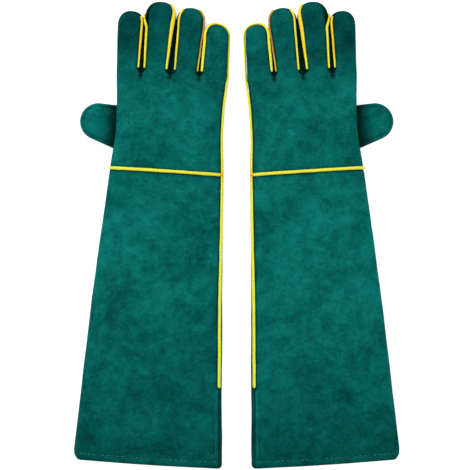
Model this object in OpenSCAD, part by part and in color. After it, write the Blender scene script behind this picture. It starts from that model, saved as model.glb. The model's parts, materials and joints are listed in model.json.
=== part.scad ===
// A pair of long leather gauntlets for rough garden work, laid flat with the palms down.
// Each glove is drawn in a frame of its own: u runs across it towards the little finger,
// v runs from the hem towards the fingertips, and z is the height above the table.
// place() then leans it and sets it beside its mirror image. All sizes are in millimetres.

/* [Pair] */
// Gap between the two gloves, little finger to little finger
glove_gap = 18; // [6:1:60]
// Angle at which each glove leans away from its mate at the hem
lean = 3.7; // [0:0.1:8]

/* [Cuff] */
// Length of the cuff, from the hem to the wrist welt
cuff_length = 375; // [220:1:460]
// Half width of the hem, on the thumb side of the centre line
hem_thumb_side = 97; // [80:1:120]
// Half width of the hem, on the little-finger side
hem_little_side = 94; // [78:1:118]
// Inward bow of the little-finger edge, half way up the cuff
cuff_bow = 3.5; // [0:0.5:8]
// Height of the open mouth, as it lies
mouth_height = 42; // [30:1:60]
// Height of the cuff just below the wrist welt
wrist_height = 32; // [28:1:45]
// Distance from the hem to the end of the yellow side welt
plain_seam_length = 104; // [40:1:200]

/* [Hand] */
// Length of the hand, from the wrist welt to the finger roots
hand_length = 122; // [108:1:150]
// Half width at the wrist welt, thumb side
wrist_thumb_side = 73; // [66:1:90]
// Half width at the wrist welt, little-finger side
wrist_little_side = 70; // [64:1:88]
// Half width across the palm, thumb side
palm_thumb_side = 69; // [64:1:85]
// Half width across the palm, little-finger side
palm_little_side = 65; // [60:1:82]
// Height over the middle of the palm
palm_height = 36; // [32:1:48]

/* [Fingers] */
// Distance from the centre line to the crotch between index and middle finger
index_crotch = 41.5; // [38:0.5:50]
// Distance from the centre line to the crotch between middle and ring finger
middle_crotch = 3.9; // [0:0.1:6]
// Distance from the centre line to the crotch between ring and little finger
ring_crotch = 33.3; // [30:0.1:42]
// Gap between two fingers at the crotch
finger_gap = 2.8; // [2.4:0.1:5]
// Length of the index finger beyond the finger roots
index_length = 79; // [64:1:100]
// Length of the middle finger
middle_length = 94; // [74:1:116]
// Length of the ring finger
ring_length = 88; // [70:1:108]
// Length of the little finger
little_length = 70; // [58:1:88]
// Height of a finger, as it lies
finger_height = 24; // [20:1:30]

/* [Thumb] */
// Radius of the round root of the thumb, where it is sewn to the palm
thumb_root_radius = 31; // [27:0.5:34]
// Radius of the thumb's tip
thumb_tip_radius = 23.7; // [20:0.1:28]
// Distance from the centre of the root to the centre of the tip
thumb_reach = 50; // [42:1:60]
// Angle at which the thumb points forward of straight out
thumb_forward = 11.8; // [0:0.1:20]
// Height of the flattened thumb
thumb_height = 14; // [12:0.5:18]
// Radius of the thumb hole in the palm
thumb_hole_radius = 20; // [16:0.5:24]
// Free space between the thumb and the palm above it
thumb_clearance = 0.6; // [0.4:0.1:1.5]

/* [Materials] */
// Thickness of the split leather
leather = 1.8; // [1.2:0.1:2.4]
// Thickness of the cloth lining
lining = 0.8; // [0.5:0.1:1.2]
// Radius of the welt's round bead
welt_radius = 1.7; // [1.2:0.1:2.2]
// Distance from the hem's edge to its line of stitches
hem_stitch_inset = 9; // [5:1:15]
// Length of one stitch in the hem
stitch_length = 4; // [3:0.5:5]
// Distance from one stitch to the next
stitch_pitch = 6; // [5:0.5:9]
// Thickness of the sewing thread
thread = 0.9; // [0.6:0.1:1.2]

/* [Bends] */
// Length of the soft band of cuff that bends below the wrist welt
wrist_band_length = 22; // [18:1:30]
// Length of the soft sleeve that bends at each finger's root
knuckle_length = 20; // [17:1:24]

/* [Hidden] */
SIDES = ["right", "left"];
FINGERS = ["index", "middle", "ring", "little"];
CUFF_NODES = ["cuff_back", "cuff_palm", "cuff_lining", "cuff_welt", "hem_stitches", "wrist_band"];
HAND_NODES = ["hand_back", "hand_palm", "hand_lining", "wrist_welt", "side_welt", "knuckle_sleeves"];
FINGER_PARTS = ["back", "palm", "sidewalls", "welts"];
THUMB_NODES = ["thumb_back", "thumb_palm"];

LEATHER_GREEN = [0.02, 0.36, 0.32];
WELT_YELLOW = [0.94, 0.86, 0.20];
LINING_CREAM = [0.88, 0.86, 0.78];
THREAD_GREEN = [0.45, 0.72, 0.66];

layer_gap = 0.1;             // free space between the leather and its lining
bend_gap = 0.4;              // free space between a finger's welts and its knuckle sleeve
hem_corner = 6;              // how far the hem's corners are rounded
hem_turn = 8;                // the lining stops this far short of the hem
knuckle_thumb_side = index_crotch + 32.5;
knuckle_little_side = ring_crotch + 34;
wrist_v = cuff_length;
root_v = wrist_v + hand_length;
band_start = wrist_v - wrist_band_length - 1;
band_end = wrist_v - 1;
sleeve_end = root_v + knuckle_length;
palm_v = wrist_v + 0.37 * hand_length;
wrist_welt_v = band_end + welt_radius + 0.3;

// The thumb's root: one circle, so that the thumb swings about its centre.
thumb_root = [-(palm_thumb_side - 25), wrist_v + 49.5];
thumb_swing_space = 26;      // the palm is fully raised this far round the thumb's path
thumb_ramp = 22;             // and comes down to the table over this length
thumb_raise = thumb_height + thumb_clearance;

cuff_seam_height = 15;       // where the back and palm leathers meet, on the cuff
palm_seam_height = 14;       // on the hand's little-finger side
fold_height = thumb_raise + leather + lining + 3;   // on the hand's thumb side
cuff_welt_angle = 18;        // how far up the cuff's rounded edge its welt lies

function mix(a, b, t) = a + (b - a) * t;
function clamp01(t) = min(1, max(0, t));
function smooth(t) = let (x = clamp01(t)) x * x * (3 - 2 * x);
function unit(p) = p / norm(p);
function sgn_pow(x, p) = sign(x) * pow(abs(x), p);

// ---- where the glove's edges run, as half widths either side of the centre line ----
function thumb_edge(v) = lookup(v, [
    [0, hem_thumb_side], [wrist_v, wrist_thumb_side],
    [palm_v, palm_thumb_side], [root_v, knuckle_thumb_side]
]) - hem_rounding(v);
function little_edge(v) = lookup(v, [
    [0, hem_little_side], [wrist_v, wrist_little_side],
    [palm_v, palm_little_side], [root_v, knuckle_little_side]
]) - cuff_bow * sin(180 * clamp01(v / wrist_v)) - hem_rounding(v);
function hem_rounding(v) =
    hem_corner - sqrt(max(0, pow(hem_corner, 2) - pow(max(0, hem_corner - v), 2)));

// ---- heights: crown, the seam on each side, and how square the section is ----
function crown(v) = lookup(v, [
    [0, mouth_height], [0.2 * wrist_v, mix(mouth_height, wrist_height, 0.7)],
    [band_start, wrist_height], [band_end, wrist_height],
    [palm_v, palm_height], [root_v, finger_height + 1]
]);
function thumb_seam(v) = lookup(v, [
    [0, cuff_seam_height], [band_end, cuff_seam_height],
    [palm_v - 16, fold_height], [root_v - 22, fold_height], [root_v, finger_height / 2]
]);
function little_seam(v) = lookup(v, [
    [band_end, cuff_seam_height], [palm_v, palm_seam_height], [root_v, finger_height / 2]
]);
function squareness(v) = lookup(v, [[0, 2.3], [wrist_v, 2.6], [root_v, 4]]);
function welt_angle(v) = lookup(v, [
    [0.6 * wrist_v, cuff_welt_angle], [band_end, 10], [palm_v, 4], [root_v, 0]
]);
CORNER = 0.8;                // share of the half width that lies flat on the table

// Height of the palm above the table, where it rides over the thumb and its swing.
function raise(u, v) =
    let (
        du = max(0, u - thumb_root[0]),
        dv = max(0, thumb_root[1] - v, v - (thumb_root[1] + 25)),
        d = norm([du, dv])
    )
    thumb_raise * smooth((thumb_swing_space + thumb_ramp - d) / thumb_ramp);

// One point of the body's skin at v, inset by d. s turns from the little-finger edge (0)
// over the back to the thumb edge (180), and on under the palm to the start again (360).
function skin(v, s, d) =
    let (turned = s > 360 ? s - 360 : s)
    turned <= 180 ? back_point(v, turned, d) : palm_point(v, (turned - 180) / 180, d);
function back_point(v, s, d) =
    let (
        p = squareness(v),
        little = s < 90,
        edge = little ? little_edge(v) : thumb_edge(v),
        seam = little ? little_seam(v) : thumb_seam(v)
    )
    [
        sgn_pow(cos(s), 2 / p) * (edge - d),
        v,
        seam + (crown(v) - seam - d) * pow(abs(sin(s)), 2 / p)
    ];
function palm_point(v, q, d) =
    let (
        thumb = q < 0.5,
        edge = (thumb ? thumb_edge(v) : little_edge(v)) - d,
        seam = thumb ? thumb_seam(v) : little_seam(v),
        from_edge = 4 * min(q, 1 - q),
        angle = 90 * (1 - clamp01(from_edge)),
        flat = mix(CORNER, 0, clamp01(from_edge - 1)),
        t = (from_edge < 1 ? CORNER + (1 - CORNER) * sin(angle) : flat),
        u = (thumb ? -1 : 1) * t * edge,
        low = d + (seam - d) * (1 - cos(angle))
    )
    [u, v, max(low, raise(u, v) + d)];

// ---- solids from grids of points ----
// Joins two grids, rows of points, into one closed shell. A ring's rows close on themselves.
// Seen from outside, the rows run up and their points run from right to left.
module shell(outer, inner, ring = false) {
    rows = len(outer);
    cols = len(outer[0]);
    last = ring ? cols - 1 : cols - 2;
    all = concat([for (r = outer) each r], [for (r = inner) each r]);
    n = rows * cols;
    function at(i, j) = i * cols + j % cols;
    quads = concat(
        [for (i = [0:rows - 2], j = [0:last])
            [at(i, j), at(i + 1, j), at(i + 1, j + 1), at(i, j + 1)]],
        [for (i = [0:rows - 2], j = [0:last])
            [n + at(i, j), n + at(i, j + 1), n + at(i + 1, j + 1), n + at(i + 1, j)]],
        [for (j = [0:last]) [at(0, j), at(0, j + 1), n + at(0, j + 1), n + at(0, j)]],
        [for (j = [0:last]) [
            at(rows - 1, j), n + at(rows - 1, j), n + at(rows - 1, j + 1), at(rows - 1, j + 1)
        ]]
    );
    sides = ring ? [] : concat(
        [for (i = [0:rows - 2]) [at(i, 0), n + at(i, 0), n + at(i + 1, 0), at(i + 1, 0)]],
        [for (i = [0:rows - 2]) [
            at(i, cols - 1), at(i + 1, cols - 1), n + at(i + 1, cols - 1), n + at(i, cols - 1)
        ]]
    );
    polyhedron(all, [for (q = concat(quads, sides)) each [[q[2], q[1], q[0]], [q[3], q[2], q[0]]]]);
}

// Sweeps a round bead along a line of points. across is a direction the line never takes.
module bead(line, radius, across, sides = 6) {
    n = len(line);
    rings = [
        for (i = [0:n - 1])
            let (
                t = unit(line[min(n - 1, i + 1)] - line[max(0, i - 1)]),
                a = unit(cross(t, across)),
                b = cross(t, a)
            )
            each [for (k = [0:sides - 1])
                line[i] + radius * (cos(360 * k / sides) * a + sin(360 * k / sides) * b)]
    ];
    walls = [
        for (i = [0:n - 2], k = [0:sides - 1])
            let (p = i * sides + k, q = i * sides + (k + 1) % sides)
            each [[q + sides, q, p], [p + sides, q + sides, p]]
    ];
    polyhedron(rings, concat(
        walls,
        [[for (k = [0:sides - 1]) k]],
        [[for (k = [sides - 1:-1:0]) (n - 1) * sides + k]]
    ));
}

function spread(a, b, n) = [for (i = [0:n]) mix(a, b, i / n)];

// ---- cuff and hand panels ----
CUFF_ROWS = concat([0, 1.5, 4, hem_turn], spread(20, band_start, 4));
HAND_ROWS = concat(
    spread(band_end, thumb_root[1], 8),
    [thumb_root[1] + 25],
    spread(root_v - 23, root_v, 4)
);

// The back's turns run from the welt to the thumb edge, and the palm's from there back
// to the welt. A ring takes both, so that it follows the panels facet by facet. The
// hand's palm has more of them, because it rides over the thumb.
CUFF_FLAT_TURNS = [270];
HAND_FLAT_TURNS = concat(spread(232, 276, 8), [295]);
function back_turns(v) = spread(welt_angle(v), 180, 12);
function palm_turns(v, flat_turns) = concat(
    spread(180, 225, 3), flat_turns, spread(315, 360, 3),
    [360 + welt_angle(v) / 2, 360 + welt_angle(v)]
);
function ring_turns(v, flat_turns) = concat(
    back_turns(v),
    [for (s = palm_turns(v, flat_turns)) if (s > 180 && s < 360 + welt_angle(v)) s]
);

module body_shell(rows, turns, inset = 0, thick = leather, ring = false) {
    shell(
        [for (v = rows) [for (s = turns(v)) skin(v, s, inset)]],
        [for (v = rows) [for (s = turns(v)) skin(v, s, inset + thick)]],
        ring = ring
    );
}

module cuff_back() {
    color(LEATHER_GREEN) body_shell(CUFF_ROWS, function(v) back_turns(v));
}

module cuff_palm() {
    color(LEATHER_GREEN) body_shell(CUFF_ROWS, function(v) palm_turns(v, CUFF_FLAT_TURNS));
}

module cuff_lining() {
    rows = [for (v = CUFF_ROWS) if (v >= hem_turn) v];
    turns = function(v) ring_turns(v, CUFF_FLAT_TURNS);
    color(LINING_CREAM) body_shell(rows, turns, leather + layer_gap, lining, ring = true);
}

module wrist_band() {
    rows = spread(band_start, band_end, 2);
    color(LEATHER_GREEN)
        body_shell(rows, function(v) ring_turns(v, CUFF_FLAT_TURNS), ring = true);
}

module cuff_welt() {
    line = [for (v = concat([plain_seam_length], spread(plain_seam_length + 20, band_start, 6)))
        seam_line(v)];
    color(WELT_YELLOW) bead(line, welt_radius, [0, 0, 1]);
}

// Centre of the side welt's bead, just outside the leather edge that it is sewn into.
function seam_line(v) =
    let (s = welt_angle(v), a = skin(v, s, 0), b = skin(v, s, 1))
    a + (welt_radius - 0.3) * unit([max(0.2, a[0] - b[0]), 0, a[2] - b[2]]);

module hem_stitches() {
    half = min(thumb_edge(hem_stitch_inset), little_edge(hem_stitch_inset)) - 14;
    count = floor(half / stitch_pitch);
    color(THREAD_GREEN)
        for (i = [-count:count]) {
            s = stitch_angle(i * stitch_pitch);
            p = skin(hem_stitch_inset, s, 0);
            q = skin(hem_stitch_inset, s - 1, 0);
            translate(p)
                rotate([0, -atan2(q[2] - p[2], q[0] - p[0]), 0])
                    cube([stitch_length, thread, thread], center = true);
        }
}

// The turn at which the back's skin stands at u, beside the hem.
function stitch_angle(u) =
    let (
        v = hem_stitch_inset,
        edge = u > 0 ? little_edge(v) : thumb_edge(v),
        p = squareness(v)
    )
    acos(sgn_pow(u / edge, p / 2));

module hand_back() {
    color(LEATHER_GREEN) body_shell(HAND_ROWS, function(v) back_turns(v));
}

module hand_palm() {
    color(LEATHER_GREEN)
        difference() {
            body_shell(HAND_ROWS, function(v) palm_turns(v, HAND_FLAT_TURNS));
            thumb_hole();
        }
}

module hand_lining() {
    rows = [for (v = HAND_ROWS) if (v < root_v - 1) v];
    turns = function(v) ring_turns(v, HAND_FLAT_TURNS);
    color(LINING_CREAM)
        difference() {
            body_shell(rows, turns, leather + layer_gap, lining, ring = true);
            thumb_hole();
        }
}

module thumb_hole() {
    translate([thumb_root[0], thumb_root[1], 0])
        cylinder(r = thumb_hole_radius, h = thumb_raise + leather + lining + 2, $fn = 48);
}

module wrist_welt() {
    v = wrist_welt_v;
    line = [for (s = spread(welt_angle(v) + 1, 179, 18))
        let (a = skin(v, s, 0), b = skin(v, s, 1))
        a + (welt_radius - 0.5) * unit([a[0] - b[0], 0, max(0.02, a[2] - b[2])])];
    color(WELT_YELLOW) bead(line, welt_radius, [0, 1, 0]);
}

module side_welt() {
    line = [for (v = spread(wrist_welt_v + 2 * welt_radius, root_v, 7)) seam_line(v)];
    color(WELT_YELLOW) bead(line, welt_radius, [0, 0, 1]);
}

// ---- fingers ----
// Each row: centre and half width at the root, centre and half width near the tip, length.
function finger_between(a, b, shift, grow, length) =
    let (c = (a + b) / 2, w = (b - a - finger_gap) / 2)
    [c, w, c + shift, w + grow, length];
function finger(name) =
    name == "index" ? finger_between(
        -knuckle_thumb_side - finger_gap / 2, -index_crotch, -1.3, 1.6, index_length)
    : name == "middle" ? finger_between(-index_crotch, -middle_crotch, 1.6, 1, middle_length)
    : name == "ring" ? finger_between(-middle_crotch, ring_crotch, 3, -0.4, ring_length)
    : finger_between(
        ring_crotch, knuckle_little_side + finger_gap / 2, 1.2, -2.6, little_length);

FINGER_SQUARENESS = 3.2;
UPPER_SEAM = 35;             // turn of the welt along a finger's upper corner

// Rows of a finger from v0 to its tip, as [share of the length, share of the width].
function finger_rows(f, v0) =
    let (
        start = (v0 - root_v) / f[4],
        bend = 1 - f[3] / f[4]
    )
    concat(
        [for (t = spread(start, bend, 2)) [t, 1]],
        [for (a = [25, 48, 66, 79, 89])
            [bend + (1 - bend) * sin(a), pow(cos(a), 2 / 2.3)]]
    );

// One point of a finger's skin. s turns as on the hand, from its little-finger side.
function finger_point(f, row, s, d) =
    let (
        e = 2 / FINGER_SQUARENESS,
        t = row[0],
        half = mix(f[1], f[3], clamp01(t / 0.6)),
        centre = mix(f[0], f[2], clamp01(t / 0.6)),
        middle = finger_height / 2,
        share = row[1]
    )
    [
        centre + sgn_pow(cos(s), e) * (half - d) * share,
        root_v + t * (f[4] - (share < 1 ? d : 0)),
        middle + sgn_pow(sin(s), e) * (middle - d) * pow(share, 0.8)
    ];

module finger_panel(name, from, to, columns) {
    f = finger(name);
    rows = finger_rows(f, sleeve_end);
    turns = spread(from, to, columns);
    color(LEATHER_GREEN)
        shell(
            [for (r = rows) [for (s = turns) finger_point(f, r, s, 0)]],
            [for (r = rows) [for (s = turns) finger_point(f, r, s, leather)]]
        );
}

// The back wraps round the index finger's outer side, and reaches the little finger's
// outer seam. Elsewhere a welt joins it to the side walls between the fingers.
function has_outer_fold(name) = name == "index";
function has_outer_seam(name) = name == "little";
function back_start(name) = has_outer_seam(name) ? 0 : UPPER_SEAM;
function back_end(name) = has_outer_fold(name) ? 180 + UPPER_SEAM : 180 - UPPER_SEAM;

module finger_back(name) {
    finger_panel(name, back_start(name), back_end(name), 7);
}

module finger_palm(name) {
    finger_panel(name, 180 + UPPER_SEAM, has_outer_seam(name) ? 360 : 360 - UPPER_SEAM, 6);
}

module finger_sidewalls(name) {
    if (!has_outer_seam(name)) finger_panel(name, -UPPER_SEAM, UPPER_SEAM, 2);
    if (!has_outer_fold(name)) finger_panel(name, 180 - UPPER_SEAM, 180 + UPPER_SEAM, 2);
}

function finger_seam_line(name, s) =
    let (f = finger(name), rows = finger_rows(f, sleeve_end + bend_gap))
    [for (r = rows) if (r[1] > 0.3)
        finger_point(f, r, s, 0) + (welt_radius - 0.4) * [cos(s), 0, sin(s)]];

// The little finger's welt runs on round its tip, so it is one bead.
module finger_welts(name) {
    right = finger_seam_line(name, back_start(name));
    left = finger_seam_line(name, 180 - UPPER_SEAM);
    color(WELT_YELLOW)
        if (has_outer_seam(name)) {
            bead(concat(right, [for (i = [len(left) - 1:-1:0]) left[i]]), welt_radius, [0, 0, 1]);
        } else {
            bead(right, welt_radius, [0, 0, 1]);
            if (!has_outer_fold(name)) bead(left, welt_radius, [0, 0, 1]);
        }
}

module knuckle_sleeves() {
    turns = [for (k = [0:15]) 360 * k / 16];
    color(LEATHER_GREEN)
        for (name = FINGERS) {
            f = finger(name);
            rows = [for (v = spread(root_v, sleeve_end, 2)) [(v - root_v) / f[4], 1]];
            shell(
                [for (r = rows) [for (s = turns) finger_point(f, r, s, 0)]],
                [for (r = rows) [for (s = turns) finger_point(f, r, s, leather)]],
                ring = true
            );
        }
}

// ---- thumb ----
// The thumb is a flat tapered pocket: two round ends joined by straight sides.
// x runs from the root's centre along the thumb.
THUMB_TAPER = asin((thumb_root_radius - thumb_tip_radius) / thumb_reach);
THUMB_ROWS = concat(
    [for (a = [89, 72, 54, 34, 14]) -thumb_root_radius * sin(a)],
    [thumb_root_radius * sin(THUMB_TAPER), thumb_reach * 0.55],
    [for (a = [THUMB_TAPER, 24, 42, 58, 74, 89]) thumb_reach + thumb_tip_radius * sin(a)]
);
function thumb_half_width(x) =
    x < thumb_root_radius * sin(THUMB_TAPER) ? sqrt(max(0, pow(thumb_root_radius, 2) - x * x))
    : x < thumb_reach + thumb_tip_radius * sin(THUMB_TAPER)
        ? (thumb_root_radius - x * sin(THUMB_TAPER)) / cos(THUMB_TAPER)
    : sqrt(max(0, pow(thumb_tip_radius, 2) - pow(x - thumb_reach, 2)));

// How far x has gone into one of the round ends, where the thumb thins like a lens.
function thumb_end(x) =
    x < 0 ? -x / thumb_root_radius : max(0, (x - thumb_reach) / thumb_tip_radius);
THUMB_TOP_SQUARENESS = 2.5;
THUMB_UNDERSIDE_SQUARENESS = 4;

// s turns from the side nearest the fingers (0) over the top (180) and on under the thumb.
function thumb_point(x, s, d) =
    let (
        w = thumb_half_width(x),
        half = thumb_height / 2,
        squareness = sin(s) > 0 ? THUMB_TOP_SQUARENESS : THUMB_UNDERSIDE_SQUARENESS,
        lift = (half - d) * pow(1 - pow(thumb_end(x), squareness), 1 / squareness),
        e = 2 / squareness,
        inward = 1 - d / thumb_tip_radius
    )
    [
        (x > 0 && x < thumb_reach) ? x : x * inward,
        -sgn_pow(cos(s), e) * w * inward,
        half + sgn_pow(sin(s), e) * lift
    ];

module thumb_panel(from, to) {
    turns = spread(from, to, 10);
    translate([thumb_root[0], thumb_root[1], 0])
        rotate([0, 0, 180 - thumb_forward])
            shell(
                [for (x = THUMB_ROWS) [for (s = turns) thumb_point(x, s, 0)]],
                [for (x = THUMB_ROWS) [for (s = turns) thumb_point(x, s, leather)]]
            );
}

module thumb_back() {
    color(LEATHER_GREEN)
        difference() {
            thumb_panel(0, 180);
            translate([thumb_root[0], thumb_root[1], thumb_height / 2])
                cylinder(r = thumb_hole_radius, h = thumb_height, $fn = 48);
        }
}

module thumb_palm() {
    color(LEATHER_GREEN) thumb_panel(180, 360);
}

// ---- the pair ----
// How far the glove reaches towards its mate, and along the pair, once it leans.
function leaned(u, v) = [u * cos(lean) + v * sin(lean), v * cos(lean) - u * sin(lean)];
little = finger("little");
middle = finger("middle");
LITTLE_SIDE = [for (r = finger_rows(little, sleeve_end + bend_gap))
    let (p = finger_point(little, r, 0, 0)) leaned(p[0] + 2 * welt_radius - 0.4, p[1])];
MIDDLE_TIP = [for (r = finger_rows(middle, sleeve_end), s = spread(0, 180, 12))
    let (p = finger_point(middle, r, s, 0)) leaned(p[0], p[1])];
HEM_LINE = [for (v = CUFF_ROWS) leaned(little_edge(v), v)];
reach_to_mate = max([for (p = LITTLE_SIDE) p[0]]);
top_end = max([for (p = MIDDLE_TIP) p[1]]);
hem_end = min([for (p = HEM_LINE) p[1]]);

module place(side) {
    mirror([side == "left" ? 1 : 0, 0, 0])
        translate([-glove_gap / 2 - reach_to_mate, -(top_end + hem_end) / 2, 0])
            rotate([0, 0, -lean])
                children();
}

for (side = SIDES) {
    place(side) cuff_back();
    place(side) cuff_palm();
    place(side) cuff_lining();
    place(side) cuff_welt();
    place(side) hem_stitches();
    place(side) wrist_band();
    place(side) hand_back();
    place(side) hand_palm();
    place(side) hand_lining();
    place(side) wrist_welt();
    place(side) side_welt();
    place(side) knuckle_sleeves();
    place(side) thumb_back();
    place(side) thumb_palm();
    for (name = FINGERS) {
        place(side) finger_back(name);
        place(side) finger_palm(name);
        place(side) finger_sidewalls(name);
        place(side) finger_welts(name);
    }
}
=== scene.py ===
"""A pair of long leather gardening gauntlets, laid flat with the palms down.

Each glove is drawn in a frame of its own, in millimetres: u runs across it, towards the little
finger, v runs from the hem towards the fingertips, and z is the height above the table. The left
glove is the mirror image of the right one, with folds and patches of its own.
"""

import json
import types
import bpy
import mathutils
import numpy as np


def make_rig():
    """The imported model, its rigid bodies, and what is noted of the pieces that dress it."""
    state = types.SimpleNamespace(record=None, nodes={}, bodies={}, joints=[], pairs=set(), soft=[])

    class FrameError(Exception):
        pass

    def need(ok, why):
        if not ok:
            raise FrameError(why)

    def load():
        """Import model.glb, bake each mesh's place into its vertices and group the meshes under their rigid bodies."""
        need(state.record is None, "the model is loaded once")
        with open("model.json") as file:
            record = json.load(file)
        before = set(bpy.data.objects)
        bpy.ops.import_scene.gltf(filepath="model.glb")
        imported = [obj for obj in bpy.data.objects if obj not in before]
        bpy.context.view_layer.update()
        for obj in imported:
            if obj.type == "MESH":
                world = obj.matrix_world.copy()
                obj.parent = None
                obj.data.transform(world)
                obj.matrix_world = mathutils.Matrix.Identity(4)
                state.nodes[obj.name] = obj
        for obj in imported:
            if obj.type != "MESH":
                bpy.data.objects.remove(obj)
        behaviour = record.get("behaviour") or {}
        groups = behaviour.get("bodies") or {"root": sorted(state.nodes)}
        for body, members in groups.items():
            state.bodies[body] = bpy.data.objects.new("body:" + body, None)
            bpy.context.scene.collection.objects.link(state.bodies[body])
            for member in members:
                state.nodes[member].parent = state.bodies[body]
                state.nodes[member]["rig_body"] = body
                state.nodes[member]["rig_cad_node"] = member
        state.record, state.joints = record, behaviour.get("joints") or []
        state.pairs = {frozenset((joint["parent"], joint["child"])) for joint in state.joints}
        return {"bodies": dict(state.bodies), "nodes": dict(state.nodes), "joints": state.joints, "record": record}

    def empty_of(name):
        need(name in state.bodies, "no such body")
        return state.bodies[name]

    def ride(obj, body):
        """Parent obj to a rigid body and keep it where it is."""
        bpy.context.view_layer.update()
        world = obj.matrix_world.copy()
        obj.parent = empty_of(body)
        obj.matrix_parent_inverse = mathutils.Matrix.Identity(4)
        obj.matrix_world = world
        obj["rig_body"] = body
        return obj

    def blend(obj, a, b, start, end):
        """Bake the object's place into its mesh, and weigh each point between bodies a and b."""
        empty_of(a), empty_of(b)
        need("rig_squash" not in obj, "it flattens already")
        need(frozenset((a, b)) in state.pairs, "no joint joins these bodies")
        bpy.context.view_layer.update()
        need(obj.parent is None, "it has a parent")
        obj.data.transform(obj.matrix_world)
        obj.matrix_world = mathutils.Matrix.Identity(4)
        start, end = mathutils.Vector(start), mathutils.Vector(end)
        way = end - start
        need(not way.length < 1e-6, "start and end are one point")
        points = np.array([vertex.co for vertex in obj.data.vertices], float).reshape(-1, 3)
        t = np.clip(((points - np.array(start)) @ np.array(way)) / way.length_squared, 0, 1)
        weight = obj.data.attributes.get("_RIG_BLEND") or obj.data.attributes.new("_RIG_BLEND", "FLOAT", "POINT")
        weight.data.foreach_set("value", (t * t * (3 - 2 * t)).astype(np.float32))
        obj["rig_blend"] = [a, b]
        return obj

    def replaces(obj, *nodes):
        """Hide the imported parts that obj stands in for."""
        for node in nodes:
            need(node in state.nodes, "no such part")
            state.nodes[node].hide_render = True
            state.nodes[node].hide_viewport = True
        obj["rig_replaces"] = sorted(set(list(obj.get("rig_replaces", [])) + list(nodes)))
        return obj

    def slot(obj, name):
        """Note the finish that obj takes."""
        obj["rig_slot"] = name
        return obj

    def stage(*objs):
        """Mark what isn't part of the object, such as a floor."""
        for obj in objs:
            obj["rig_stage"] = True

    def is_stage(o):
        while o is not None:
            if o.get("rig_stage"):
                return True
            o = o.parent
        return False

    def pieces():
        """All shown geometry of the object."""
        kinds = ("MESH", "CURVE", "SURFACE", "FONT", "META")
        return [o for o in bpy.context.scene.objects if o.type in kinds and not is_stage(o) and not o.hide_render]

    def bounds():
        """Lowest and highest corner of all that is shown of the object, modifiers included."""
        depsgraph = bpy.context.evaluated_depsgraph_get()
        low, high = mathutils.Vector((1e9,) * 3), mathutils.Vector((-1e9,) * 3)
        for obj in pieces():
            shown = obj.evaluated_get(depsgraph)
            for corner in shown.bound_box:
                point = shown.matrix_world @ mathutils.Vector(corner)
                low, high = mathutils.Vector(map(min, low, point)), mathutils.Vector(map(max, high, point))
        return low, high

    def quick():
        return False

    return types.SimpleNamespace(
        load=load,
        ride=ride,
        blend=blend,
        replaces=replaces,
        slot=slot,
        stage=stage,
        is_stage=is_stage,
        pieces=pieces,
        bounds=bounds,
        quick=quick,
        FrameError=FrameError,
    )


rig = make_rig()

bl_info = {
    "name": "Gardening Gauntlets",
    "version": (1, 0, 0),
    "blender": (4, 5, 0),
    "location": "3D View > Sidebar > Gauntlets",
    "description": "Builds a pair of long leather gardening gauntlets on their packed frame",
    "category": "Object",
}

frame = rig.load()

import json
import math
from types import SimpleNamespace

import bmesh
import bpy
import numpy as np
from bpy.props import FloatProperty, FloatVectorProperty, PointerProperty
from mathutils import Vector

FRAME_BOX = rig.bounds()
MM = 0.001
UP = np.array((0.0, 0.0, 1.0))

SIDES = ("right", "left")
FINGERS = ("index", "middle", "ring", "little")

# ---- where things are along a glove ----
WRIST = 375.0                # the seam between cuff and hand, under the wrist welt
ROOTS = 497.0                # where the fingers part
WRIST_JOINT = 363.0          # the middle of the band that bends
WRIST_JOINT_HEIGHT = 16.0
WRIST_BEND = (340.0, 386.0)  # the leather bends at the wrist between these
FINGER_BEND = (497.0, 526.0)
WELT_START = 104.0           # below this the side seam is plain
HEM_FOLD = 10.0              # how far the hem is turned in
HEM_RADIUS = 1.9
SLACK_FRAMES = 20
MOST_SLACK = 3.0             # the cloth pass moves leather no further than this
MOUTH_SLANT = 3.0            # the back's hem lies this much further up than the palm's
FOLD_WRAP = 9.0              # the back's leather goes this far round the thumb-side fold
FRONT_MORPH = 15.0           # over this length the hand's front takes the shape of four fingers

# ---- fingers: where each one's root begins and ends, how far those drift aside, and its length ----
FINGER_SPANS = {
    "index": (-72.9, -41.5, -2.4, 0.4, 81.5),
    "middle": (-41.5, -3.9, 0.4, 2.9, 95.8),
    "ring": (-3.9, 33.3, 2.9, 3.2, 90.3),
    "little": (33.3, 68.2, 3.2, -1.4, 70.5),
}
# turns of the welted seams, at the root and near the tip, on the thumb's side and on the other
SEAM_TURNS = {
    "index": (None, (52, 45)),
    "middle": ((52, 45), (57, 50)),
    "ring": ((57, 50), (46, 39)),
    "little": ((46, 39), None),
}
SEAM_TURN_AT_CROTCH = 14
# where a finger stands clear of its neighbour: on the thumb's side and on the other
CLEAR_FROM = {"index": (497, 572), "middle": (573, 580), "ring": (578, 566), "little": (566, 497)}
FINGER_MIDDLE = 12.0         # height of a finger's widest line
FINGER_POWER = 3.2           # how square a finger's section is
FINGER_GAP = 0.08            # space between two fingers once they have parted
WELTED_FROM = 504.5          # the finger welts start a little beyond the crotch
PALM_STRIP_TURN = 35.0       # a finger's palm strip starts this many degrees below its middle

# ---- thumb: a flat tapered pocket, two round ends and the straight sides between them ----
THUMB_ROOT = (-44.0, 424.5)
THUMB_TIP_REACH = 50.0
THUMB_FORWARD = 11.8
THUMB_ROOT_RADIUS = 31.0
THUMB_TIP_RADIUS = 23.7
THUMB_HEIGHT = 14.0
THUMB_RISE = 14.6            # the palm rides this high over the thumb

# ---- the camera, in metres: what it takes in, and how far it stands off the pair's middle ----
VIEW_WIDTH = 0.6026
VIEW_HEIGHT = 0.015          # the view is that wide at this height above the table
CAMERA_SHIFT = (-0.0022, 0.0007)


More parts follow.
